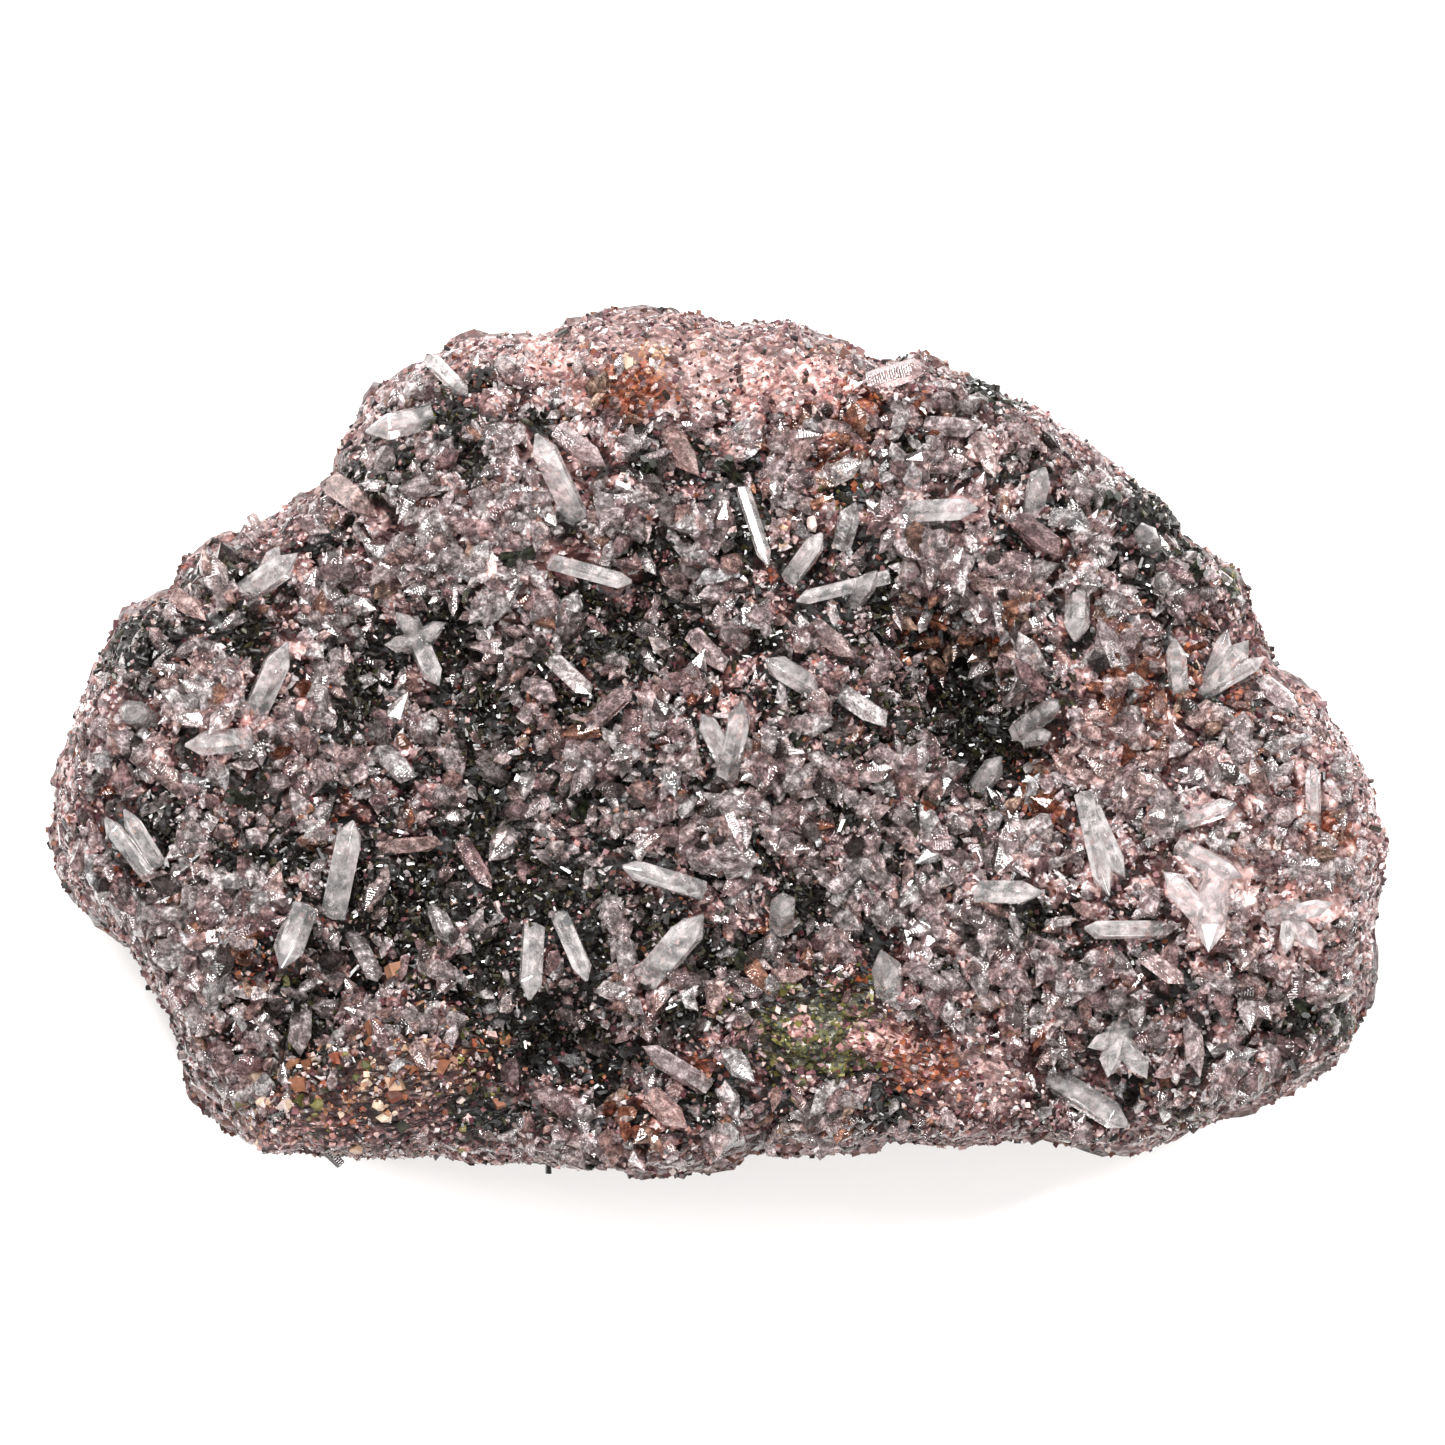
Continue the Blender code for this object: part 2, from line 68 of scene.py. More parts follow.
# Corners of the slab's outline, anticlockwise from the right end.
OUTLINE = (
    (67, -11.5), (66, -4.6), (63, 1), (56.3, 8), (53.4, 14.6), (52.7, 17.2), (46.8, 21), (44.8, 24.6),
    (37.2, 29.6), (28.4, 35.8), (24.2, 37.4), (20.8, 39.6), (16.2, 39), (11, 40.8), (7, 42.8), (1.8, 42.2),
    (-10.4, 43.8), (-18.2, 41.2), (-24.8, 40.8), (-34, 36.4), (-37.6, 30.4), (-38.8, 26.6), (-46.2, 22.2),
    (-54.2, 18.6), (-55, 15.4), (-59.6, 13.2), (-62.8, 7.4), (-66.4, -2.4), (-67.4, -9.2), (-67, -13.4),
    (-63.6, -16.8), (-59.4, -20.4), (-55.8, -27.4), (-53.8, -34.8), (-51.2, -37.6), (-45.6, -41.2),
    (-37.6, -41.6), (-28.4, -41.6), (-18.2, -42.4), (-5.8, -43.6), (-1, -43.4), (4.8, -41.2), (18.6, -40),
    (32.4, -39.8), (40.8, -41.4), (44, -41.2), (50.2, -38.2), (62, -32.6), (65.6, -26), (65.6, -19),
)

# Large forms of the crystal face: middle x and y, long and short radius, turn in degrees, height.
FORMS = (
    (24.5, 4, 11.5, 6, -58, -14), (-32, 10, 14, 6, -58, -8), (-27, -10, 9, 7, 0, -5.5),
    (-39, -25, 12, 4.6, 48, -6), (-16, -30.5, 10, 5, -10, -7), (-23, 24, 15, 12, 0, 4.5),
    (1, 1.5, 14, 9, 0, 4), (-33, -33, 15, 5, 18, 4.5), (-51, 2, 12, 11, 0, 2.5), (9, -28, 12, 8, 0, 3),
    (51, -11, 15, 14, 0, 3.5), (36.5, -34, 7, 3.6, -15, -6), (46, 11, 8, 3.4, -8, -5), (34, 5, 7, 4, 35, 3),
    (-8.5, 13.5, 9, 4, -5, -3.5), (15, -18.5, 7, 3.4, 0, -3), (-15, -5.5, 6, 5, 0, -3),
)

# Faces of bare rock with few crystals: middle x and y, long and short radius, turn in degrees.
BARE_FACES = (
    (-2, 38.5, 21, 6.5, -4), (-31, -35.5, 20, 6.5, 14), (11, -29, 10, 5.5, 0), (24, -33, 11, 5, -8),
)

# Smaller quartz points fused to the rock: root x and y, tip x and y, width, lift in degrees.
SET_POINTS = (
    (-14.4, 29.8, -11, 27.2, 2.2, 25), (26.4, 29, 27.6, 26.6, 2, 40), (31.2, 21, 34, 18.8, 2.4, 35),
    (55.4, 5, 57.4, 3.4, 2.6, 40), (43.6, -22, 46, -23.8, 2.2, 35), (1.6, -31.4, 3.4, -33.8, 2.2, 40),
    (-5.4, -36.2, -3, -38.4, 2.4, 30), (-32.6, -1.6, -30.2, -3.6, 2.4, 45),
    (-24.6, -11.4, -22.6, -14.6, 2.2, 30), (-35.6, -20.4, -33.8, -23.6, 2.2, 35),
    (-52.6, 13.8, -50.2, 12.2, 2, 25), (-37, 25, -33, 22.4, 2.8, 30), (-1.4, 9.6, 0.8, 7.2, 2.2, 40),
    (-11, 3.4, -8.4, 5.8, 2, 25), (-15.4, 7.4, -12.6, 4.8, 2.2, 35), (-4, 29.4, -2.2, 26.4, 2.4, 40),
    (10.8, 10.6, 13.2, 8.6, 2.2, 45), (13.4, 4.2, 16.8, 1.8, 2.4, 30), (-41.7, -28, -41.7, -31, 2.6, 38),
    (-2.8, -33, -7.6, -30, 2.6, 18), (47, -28.9, 47.4, -33.2, 2.1, 28), (12.6, 21.2, 13.5, 24.2, 2.2, 45),
    (16.8, 36.4, 21, 37.6, 2.4, 10), (-31.6, -10.2, -27.4, -9.8, 2.1, 18),
)

# Where the large crystals stand, root and tip on the plan, so that the fused points keep clear of them.
LARGE_AXES = (
    (-27.6, 37.2, -23.9, 33.4), (-14.8, 24, -18, 30.7), (3, 23.5, 5, 17.3), (15, 16.1, 7.1, 14.1),
    (14, 14.9, 15.6, 17), (-14.8, 17.5, -8.3, 15.7), (8, 17.6, 10.4, 20.9), (20, 23.1, 26, 23.3),
    (31.4, 24.2, 32.2, 27.7), (42.8, 19.9, 42, 21.7), (49.3, 6.3, 52.6, 10.3), (49, 6.8, 50.6, 11.3),
    (49.8, 6, 54.2, 8.6), (45.6, 6.3, 45.2, 10.7), (30.8, 1.9, 35.6, 5.5), (31.6, 0.6, 34, 1),
    (35.6, 13.5, 35.4, 10.1), (26.3, -3.9, 28.4, -1), (36.6, -6.9, 38.4, -15.2), (37.8, -8.2, 40, -13.2),
    (47.4, -16.6, 43.9, -12.4), (47.2, -11, 51.8, -13.4), (49, -14.2, 48.1, -20.6),
    (47.2, -7.2, 51.4, -5.8), (27.4, -14.7, 32.4, -14.7), (58.9, -6.2, 58.7, -1.6),
    (56.3, -16.9, 60.8, -15.9), (57, -17.6, 59.4, -20.4), (56.6, -17.4, 56, -20.8),
    (41.8, -18.4, 35.8, -18.4), (39.6, -29.2, 38.3, -33), (40, -29.6, 42.6, -33.2), (39.8, -29, 36.6, -30),
    (34.6, -34.2, 41.2, -38.2), (-3.3, -14, -9.7, -12), (-5.9, -22, -1.5, -16.8),
    (-18.4, -19.9, -18.7, -25.7), (-15, -18.6, -12.8, -23.6), (6.3, -17, 6.4, -14.7),
    (16.8, -23.4, 16.2, -20.2), (0.2, -0.8, -1.6, 3), (1.2, -1.2, 2.5, 4.4), (-48.2, 0.3, -53, -0.2),
    (-45.3, 4.4, -42.5, 10.4), (-37.9, -15.2, -36.1, -7.2), (-41.8, -18, -43.4, -22.6),
    (-57.5, 2.9, -58.7, 3.6), (-57.5, -11.8, -61, -7.1), (-56.6, -10.4, -59, -6.4),
    (-45.5, 15.9, -41.5, 18.7), (-45.2, 16.4, -43.4, 19.7), (-30, 10.5, -27.8, 5.6),
    (-30, 10.5, -31.8, 13.2), (-29.8, 10.4, -26.9, 12), (-30.2, 10.2, -33.2, 9.6), (-30.3, 32, -35.2, 30.7),
    (7.8, 6.5, 4.4, 8.5),
)
# Where the named epidote crystals stand.
EPIDOTE_ROOTS = (
    (-7.2, 26.6), (1.4, 26.8), (-19.6, 18.6), (38.6, 23.6), (46.6, 16.6), (-13.4, -6), (-47, -5.6),
    (1.8, -20.6), (57.4, -25.6), (8.6, 0.8),
)

CRUST_SEED = 29
CRUST_TRIES = 1500
CRUST_COUNT = 46
CRUST_LENGTHS = (3.6, 5.6)
CRUST_WIDTHS = (1.5, 2.4)
CRUST_SPACING = 5.6
CRUST_CLEARANCE = 3.4
CRUST_TILT = 0.55
ROOT_DEPTH = 2.0

# Relief that is finer than the CAD's: the crystals sit on clumps with gaps between them, painted dark as
# shade.
ROCK_SUBDIVISIONS = 7
CLUMP_SIZE = 3.9
CLUMP_RISE = 1.7
GAP_WIDTH = 0.42
KNOB_SIZE = 1.5
KNOB_GAP = 0.3
LARGE_CLEARANCE = 2.2

# Where the crust ends on the slab's side, and how it wanders up and down: height and size of each wave.
CRUST_FLOOR = 17.5
CRUST_WAVES = ((7.0, 13.0), (3.0, 4.5))
CRUST_FADE = 3.0

# Sizes of the planes that the broken side shows, and of its roughness: height and size.
LARGE_FRACTURE = 8.0
SMALL_FRACTURE = 2.8
SIDE_ROUGHNESS = (0.2, 1.1)

# Where the photograph shows each mineral: middle x and y, long and short radius, turn, strength.
PATCHES = {
    # "dark" is near-black epidote, and in the deep hollows between blocks it is painted shadow.
    "dark": (
        (-26.5, 31.5, 2.5, 2, 0, 0.8), (-24.2, 28, 2, 3, 0, 0.8), (-33.4, 26.9, 4, 2.5, 0, 0.7),
        (-49.6, 17, 3, 1.5, 20, 0.8), (-26, 11.5, 2.5, 5, 0, 1), (-46.8, 11.4, 1.5, 3, 0, 0.8),
        (-57.5, 10, 4, 4, 0, 0.8), (-35.5, 5.6, 3, 4.5, 0, 0.9), (-23, 3.2, 4, 4, 0, 0.9),
        (-7.1, 27.6, 1.8, 2.2, 0, 1), (-15, 21.8, 1.6, 1.6, 0, 1), (-7.1, 19.7, 3, 1.4, 0, 1),
        (2, 19, 1.6, 3, 0, 1), (-13.8, 14.2, 3.5, 1.5, 0, 0.9), (-4.3, 14.2, 2.5, 1.5, 0, 0.9),
        (-10.5, 10, 5, 3, 0, 0.9), (-17.8, 8.4, 2.2, 1, 0, 0.9), (-2.8, 10.5, 3, 2, 0, 0.8),
        (5.1, 10.8, 2, 1.5, 0, 0.8), (5.7, 4.7, 2, 1.5, 0, 0.8), (-13.8, 3.8, 2, 1.5, 0, 0.8),
        (19.2, 29.5, 1.6, 1.4, 0, 0.9), (12.8, 26.4, 1, 2, 0, 0.7), (16, 14.6, 1.5, 3, 0, 0.9),
        (24.5, 2.5, 7.5, 5.4, -58, 1), (-23.6, 36.5, 1.4, 1.2, 0, 0.7), (-17.5, 31.6, 1.4, 1.2, 0, 0.9),
        (-1.9, 29.2, 1.3, 1, 0, 0.9), (-22.6, -5.6, 4, 6, 0, 0.9), (-18.1, -14.5, 7, 4, 0, 0.9),
        (-11.4, -18.3, 3, 3, 0, 0.9), (-5.9, -17.4, 2.5, 1.5, 0, 0.9), (-1, -21.3, 3.5, 3, 0, 1),
        (-3.1, -26.8, 2.2, 1.8, 0, 1), (2.4, -23.5, 1.3, 1.2, 0, 0.8), (-23.3, -22.8, 3, 5, 0, 0.9),
        (-17.3, -29.5, 6, 3.4, 0, 1), (-10.5, -32, 2, 2, 0, 0.9), (-0.4, -36.6, 2, 1.5, 0, 0.8),
        (-12, -34.5, 1.5, 2, 0, 0.8), (7.9, -14.8, 3, 1.5, 0, 0.9), (4.5, -11.8, 1.5, 1.5, 0, 0.8),
        (22.3, -22.5, 1.5, 1.5, 0, 0.9), (-11.4, -5.5, 2.5, 2, 0, 0.9), (17, -36.3, 3, 2, 0, 0.7),
        (-30.7, -15.4, 8, 5, 0, 0.9), (-41.2, -27.9, 3.5, 4, 0, 0.9), (44.8, 22, 5, 4, -40, 0.9),
        (27.5, 35.2, 3, 2, 0, 0.9), (-22.5, -37, 4, 2.5, 0, 0.6), (-44, -11, 6, 1.6, -8, 0.8),
        (31, -17.5, 3, 2.4, 0, 0.8), (20, -12, 3, 2.4, 0, 0.7), (-55, -8, 3, 3, 0, 0.7),
        (42, 17.6, 3.4, 2, 0, 0.8), (58, -27, 4, 3, 0, 0.7), (12.4, -7, 3, 2, 0, 0.6),
        (-33, -33.5, 15, 5, 12, 0.12),
    ),
    "rust": (
        (-8.4, 34.8, 3.8, 2.8, -10, 1), (14.5, 34.2, 2.2, 1.4, -35, 0.9), (11.8, 28.4, 3.8, 5, 0, 0.6),
        (5.8, 16.6, 1.2, 1.4, 0, 0.9), (20.6, 10.6, 4.4, 3.2, -40, 1), (28, 9, 2.4, 4, -20, 0.8),
        (30.2, -2.9, 2.2, 2.2, 0, 1), (46.2, 5.7, 8.5, 4.6, -10, 0.8), (60.8, -8.4, 3.8, 1.6, -35, 0.9),
        (-46.2, -21.8, 2.8, 2.6, -40, 1), (19.6, -31.2, 4.4, 3.4, 0, 0.9), (-1.3, -32, 2.4, 1.8, 30, 1),
        (-12.2, -33.4, 2, 1.8, 0, 1), (-7.7, -37.9, 2.4, 2.8, 0, 0.9), (-3.8, -15.7, 1.4, 1.2, 0, 1),
        (4.5, -18.9, 1.8, 1.4, 0, 1), (8.5, -22.1, 2.2, 1, -10, 0.9), (15.1, -23.6, 2.2, 1.2, -10, 0.9),
        (-19, 1.4, 1.6, 2.2, 0, 0.8), (-60, -8.6, 2.6, 2, 0, 0.6), (-36.6, -7.6, 2.2, 2.4, 0, 0.6),
        (32, -6.5, 3.4, 2, -20, 0.9), (-36, -35.5, 5, 2, 14, 0.6), (16, -36.6, 4, 1.8, 0, 0.7),
        (-58.4, -12, 2.4, 1.4, 0, 0.6),
    ),
    "pink": (
        (-16.2, 37.2, 5.5, 2.2, -38, 0.9), (3.8, 35.6, 3, 3, 0, 0.8), (10.6, 35.9, 3.4, 2, -40, 1),
        (8, 30.4, 3, 2.4, 0, 0.6), (0.5, 28.5, 2.5, 2, 0, 0.6), (40.8, 0.2, 6.5, 5.5, 0, 0.85),
        (8.2, -28, 1.6, 1.4, 0, 1), (16.4, -29.3, 4.4, 2.2, -8, 0.9), (-16.4, -9.4, 3, 3.2, 0, 0.9),
        (-46.8, 0.2, 8, 9, 0, 0.55), (1, 3, 3, 3, 0, 0.5), (-4, -38.4, 3, 1.8, 0, 0.9),
        (59, -14, 6, 6, 0, 0.55), (-28, 8, 3, 3, 0, 0.5), (23, -20, 4, 3, 0, 0.5), (-40, -38, 4, 2, 0, 0.5),
    ),
    "olive": (
        (8.9, -28.1, 7.4, 5.4, 0, 0.9), (11.7, -31.4, 4, 2, 0, 0.8), (1.6, -25.5, 2.2, 1.4, 0, 0.8),
        (-28.2, 32.4, 1.2, 1, 0, 1), (-25.6, 32.2, 1.2, 1, 0, 1), (-43.2, -23.8, 1.6, 1.4, 0, 0.9),
        (-30.8, -21.8, 2.4, 1.8, 0, 1), (12, 24.8, 3, 2, 0, 0.7), (52, 16.6, 2.4, 2, -40, 1),
        (-25.9, -27.6, 1.8, 1.4, 0, 0.9), (-24.4, -35.8, 2.6, 3.6, -20, 0.7),
        (-39.6, -38.4, 2.4, 1.4, 0, 0.6), (-35.2, -28.6, 1.2, 1.2, 0, 0.7), (62, -28, 2, 2, 0, 0.8),
        (46, -37, 4, 1.4, 0, 0.6),
    ),
    "pale": (
        (53.5, -12.5, 13, 11, 0, 1), (40.5, 0, 8, 7.5, 0, 1), (-21, 21.5, 13, 10.5, 0, 1),
        (-50.5, 0, 11, 11, 0, 0.4), (-5, 35, 19, 7, -4, 0.4), (2.5, 2.5, 6, 7, 0, 0.3),
        (38, 15.5, 8, 6, -30, 0.6), (21, 25, 9, 7, 0, 0.5), (-42, 12, 6, 6, 0, 0.5),
        (34, -12, 6, 7, 0, 0.5), (-5, -19, 5, 4, 0, 0.4), (53, -28, 8, 6, 0, 0.3), (-36, -12, 6, 7, 0, 0.4),
        (27, -30, 9, 5, 0, 0.3),
    ),
    "cream": (
        (-36, -33, 11, 4.6, 10, 0.8), (-25, -30.5, 4, 4, 0, 0.6), (-46, -36, 4, 3, 0, 0.7),
        (-6.8, 38.4, 2.6, 1.6, 0, 0.8), (12, 39.4, 2, 1.2, 0, 0.7), (-16.2, 32.4, 1.4, 1.6, 0, 0.8),
        (7, 22, 2.4, 2, 0, 0.5),
    ),
}

# Tints of the small crystals and grains. A copy takes one at random.
CLEAR = ("#FFFBFA", "#F8F0EF", "#F0E5E4", "#FBF4F1", "#E6DAD9")
MAUVE = ("#E9D7D5", "#DCC5C3", "#CDB2B1", "#EFE1DF", "#BA9C9B")
BLUSH = ("#F2DEDA", "#E8CDC7", "#F5E7E3", "#DAB8B0", "#E5CBC5")
STAINED = ("#CF9F88", "#B47C64", "#DDBFAC", "#96604B", "#C9A493")
SMOKY = ("#8C807E", "#726866", "#9D9290", "#5C5251", "#ADA3A1")

GRAIN_PURPLE = ("#532A33", "#371D23", "#6B4046", "#29181B", "#7E5559")
GRAIN_BROWN = ("#5E2E22", "#713B29", "#48231A", "#7E4F3A", "#381B15")
GRAIN_PALE = ("#BA9B95", "#A5837D", "#CDB2AB", "#8F6E6A", "#D9C6BF")
GRAIN_PINK = ("#B4837C", "#A06C66", "#C79E96", "#8C5955", "#BD9088")
GRAIN_RUST = ("#763720", "#8C482D", "#5C2919", "#9C5D3E", "#421F18")
GRAIN_OLIVE = ("#4E4E22", "#5F5A2B", "#36381B", "#76703C", "#272A17")
GRAIN_CREAM = ("#A5785C", "#8C5F48", "#BC9C84", "#6E4436", "#C7B09C")
GRAIN_BLACK = ("#13120F", "#1C1A16", "#0D0C0B", "#28241D", "#201A16")
EPIDOTE_TINTS = ("#12110D", "#1B1A13", "#0C0B0A", "#25231D", "#2D2A1B", "#383622", "#171513")

# Colours of a stain's grains on the rock, by the channel that holds it: rust, olive, pink and cream.
# Some are the rock's own, so that the stain is broken up.
STAINS = {
    "Red": ("#331712", "#5C2A1B", "#77402D", "#8E5940", "#24120F"),
    "Green": ("#1A1C12", "#32341C", "#4D4D27", "#6E6A38", "#20231A"),
    "Blue": ("#7E4F4F", "#B38983", "#C9A39C", "#D8BBB4", "#57323A"),
    "Alpha": ("#3C2029", "#63424A", "#8E6A50", "#B39880", "#47292B"),
}

# Colours along the rock's ramps, by place: its grains where bare, its sugary skin, its broken side, and
# the painted shade that darkens the gaps, with the dark dust of the darkest patches.
SPECKLE = (
    (0.0, "#1C1112"), (0.2, "#381D20"), (0.4, "#5A3838"), (0.56, "#7C5653"), (0.72, "#A57F7A"),
    (0.86, "#CBABA5"), (0.94, "#4E241B"),
)
SUGAR = (
    (0.0, "#32161A"), (0.14, "#5A3637"), (0.32, "#7E5A59"), (0.5, "#A28281"), (0.7, "#C6AEAA"),
    (0.87, "#8F574A"), (0.94, "#221314"),
)
BROKEN_SIDE = ((0.3, "#140C0D"), (0.42, "#2E1B1E"), (0.52, "#452B27"), (0.6, "#5E4036"), (0.7, "#241819"))
GAP_SHADE_AND_DARK_DUST = ((0.1, "#FFFFFF"), (0.32, "#6A514E"), (0.6, "#171210"))

# Colours along the ramps of quartz, from clear to milky and from speck to clear, and of epidote.
MILK = ((0.35, "#FFFFFF"), (0.55, "#FDF8F7"), (0.72, "#F6EBE9"))
INCLUSIONS = ((0.36, "#6E5058"), (0.46, "#D6CACD"), (0.58, "#FFFFFF"))
DARK_GREEN = ((0.3, "#0B0C09"), (0.5, "#13160F"), (0.66, "#242917"), (0.82, "#454A24"))

# What is strewn over the rock: seed, count, widths from and to, length over width from and to, how far
# each copy leans from square, and the share of its length that is sunk.
COVER = {
    "middling_quartz_points": (21, 1150, (1.4, 2.5), (1.5, 2.5), 0.55, 0.38),
    "small_quartz_points": (22, 4000, (0.8, 1.5), (1.6, 2.8), 0.6, 0.42),
    "sugary_quartz_crust": (23, 14000, (0.3, 0.75), (1.2, 2.3), 0.7, 0.4),
    "dark_epidote_blades": (24, 9000, (0.3, 0.85), (0.9, 1.8), 0.6, 0.35),
    "mixed_rock_grains": (25, 14000, (0.25, 0.8), (0.8, 1.2), 0.5, 0.3),
    "side_rock_grains": (27, 5000, (0.35, 1.1), (0.8, 1.1), 0.5, 0.25),
    "cream_grains": (26, 110, (0.8, 2.1), (1.2, 1.6), 0.5, 0.4),
}


def turned(x, y, middle_x, middle_y, turn):
    """A place on the face, seen from a form's middle and along its own axes."""
    turn = math.radians(turn)
    across, along = x - middle_x, y - middle_y
    return (
        across * math.cos(turn) + along * math.sin(turn),
        along * math.cos(turn) - across * math.sin(turn),
    )


def mound(x, y, middle_x, middle_y, long_radius, short_radius, turn):
    """From 1 in the middle of an oval form to 0 outside it, for numbers or arrays."""
    u, v = turned(x, y, middle_x, middle_y, turn)
    return np.exp(-((u / long_radius) ** 2 + (v / short_radius) ** 2) ** 1.3)


def share_of(mineral, x, y):
    """How much of a mineral the photograph shows at each place, from 0 to 1."""
    most = np.zeros_like(x)
    for patch in PATCHES[mineral]:
        most = np.maximum(most, patch[5] * mound(x, y, *patch[:5]))
    return most


def bareness(x, y):
    """1 on a face of bare rock, 0 where crystals cover it."""
    most = mound(x, y, *BARE_FACES[0])
    for face in BARE_FACES[1:]:
        most = np.maximum(most, mound(x, y, *face))
    return most


def outline_table():
    """Directions and distances of the outline's corners, in order, closed on itself."""
    corners = sorted((math.atan2(y, x), math.hypot(x, y)) for x, y in OUTLINE)
    corners.insert(0, (corners[-1][0] - math.tau, corners[-1][1]))
    corners.append((corners[1][0] + math.tau, corners[1][1]))
    return np.array(corners).T


OUTLINE_TURNS, OUTLINE_REACHES = outline_table()


def outline_reach(turn):
    """Distance from the middle to the outline, for directions in radians, as numbers or arrays."""
    return np.interp(turn, OUTLINE_TURNS, OUTLINE_REACHES)


def face_height(x, y):
    """Height of the crystal face over the resting face, in millimetres."""
    share = math.hypot(x, y) / outline_reach(math.atan2(y, x))
    height = SHOULDER_HEIGHT + CROWN_RISE * (1 - share**2)
    height += sum(form[5] * mound(x, y, *form[:5]) for form in FORMS)
    height += 1.7 * noise.noise(Vector((x / 9, y / 9, 3.1)))
    height += 0.9 * noise.noise(Vector((x / 4.2, y / 4.2, 7.7)))
    return height


def edge_shape(turn):
    """Height of the widest place and width of the rounded shoulder, in a direction given in radians."""
    rough = Vector((math.cos(turn) * 5.2, math.sin(turn) * 4.2, 1.3))
    return WIDEST_HEIGHT + 7.0 * noise.noise(rough * 0.45), SHOULDER_INSET + 3.0 * noise.noise(rough * 0.7)


def surface_height(x, y):
    """Height of the rock at a place on the plan, with the rounded shoulder outside the crystal face."""
    turn = math.atan2(y, x)
    widest, inset = edge_shape(turn)
    brink = outline_reach(turn) - ROCK_INSET - inset
    past = math.hypot(x, y) - brink
    if past <= 0:
        return face_height(x, y)
    edge_height = face_height(brink * math.cos(turn), brink * math.sin(turn))
    return widest + (edge_height - widest) * math.sqrt(max(0.0, 1 - (past / inset) ** 2))


def surface_normal(x, y):
    """Direction square to the rock's surface."""
    step = 1.2
    slope_x = (surface_height(x + step, y) - surface_height(x - step, y)) / (2 * step)
    slope_y = (surface_height(x, y + step) - surface_height(x, y - step)) / (2 * step)
    return Vector((-slope_x, -slope_y, 1)).normalized()


def rock_point(unit):
    """Where a point of the unit sphere goes on the slab: crystal face, broken sides or resting face."""
    turn = math.atan2(HALF_WIDTH * unit.y, HALF_LENGTH * unit.x)
    reach = outline_reach(turn) - ROCK_INSET
    widest, inset = edge_shape(turn)
    rough = Vector((math.cos(turn) * 5.2, math.sin(turn) * 4.2, unit.z * 2.6))
    edge_share = TOP_SHARE if unit.z >= 0 else BACK_SHARE
    share = (1 - abs(unit.z)) / edge_share
    if unit.z < 0:
        inset = BACK_INSET + 6.0 * noise.noise(rough * 0.8)
    around = (math.cos(turn), math.sin(turn))
    if share <= 1:
        plan = math.sqrt(share) * (reach - inset)
        x, y = plan * around[0], plan * around[1]
        return Vector((x, y, face_height(x, y) if unit.z >= 0 else -BACK_ALLOWANCE))
    down = (share - 1) / (1 / edge_share - 1) * math.pi / 2
    edge = (reach - inset) * around[0], (reach - inset) * around[1]
    edge_height = face_height(*edge) if unit.z >= 0 else -BACK_ALLOWANCE
    broken = 1.4 * noise.noise(rough * 2.3) + 1.2 * noise.noise(rough * 4.1)
    plan = reach - inset * (1 - math.sin(down)) + math.sin(2 * down) * broken
    height = widest + (edge_height - widest) * math.cos(down)
    return Vector((plan * around[0], plan * around[1], height))


def from_large(x, y):
    """Distance on the plan from each place to the nearest large crystal's axis, in millimetres."""
    nearest = np.full_like(x, HALF_LENGTH)
    for root_x, root_y, tip_x, tip_y in LARGE_AXES + tuple(point[:4] for point in SET_POINTS):
        along_x, along_y = tip_x - root_x, tip_y - root_y
        share = ((x - root_x) * along_x + (y - root_y) * along_y) / (along_x**2 + along_y**2)
        share = np.clip(share, 0, 1)
        gap = np.hypot(x - root_x - share * along_x, y - root_y - share * along_y)
        nearest = np.minimum(nearest, gap)
    return nearest


def rim_share(places):
    """How far out each place is on the plan, from 0 in the middle to 1 on the outline."""
    x, y = places[:, 0], places[:, 1]
    return np.hypot(x, y) / outline_reach(np.arctan2(y, x))


def crust_floor(place):
    """Height at which the crust of crystals ends on the slab's side, ragged as it wanders round."""
    floor = CRUST_FLOOR
    for height, size in CRUST_WAVES:
        floor += height * noise.noise(place / size)
    return floor


def over_floor(places):
    """How far each place is above the crust's lower edge, 1 where the crust is whole."""
    return (places[:, 2] - np.array([crust_floor(Vector(place)) for place in places])) / CRUST_FADE


def fracture(place, size):
    """Height of flat tilted planes where rock broke away, each about the given size across."""
    cell = noise.voronoi(place / size)[1][0]
    lean = noise.noise_vector(cell * 5.3)
    return 0.28 * lean.dot(place - cell * size) + 0.08 * size * lean.x


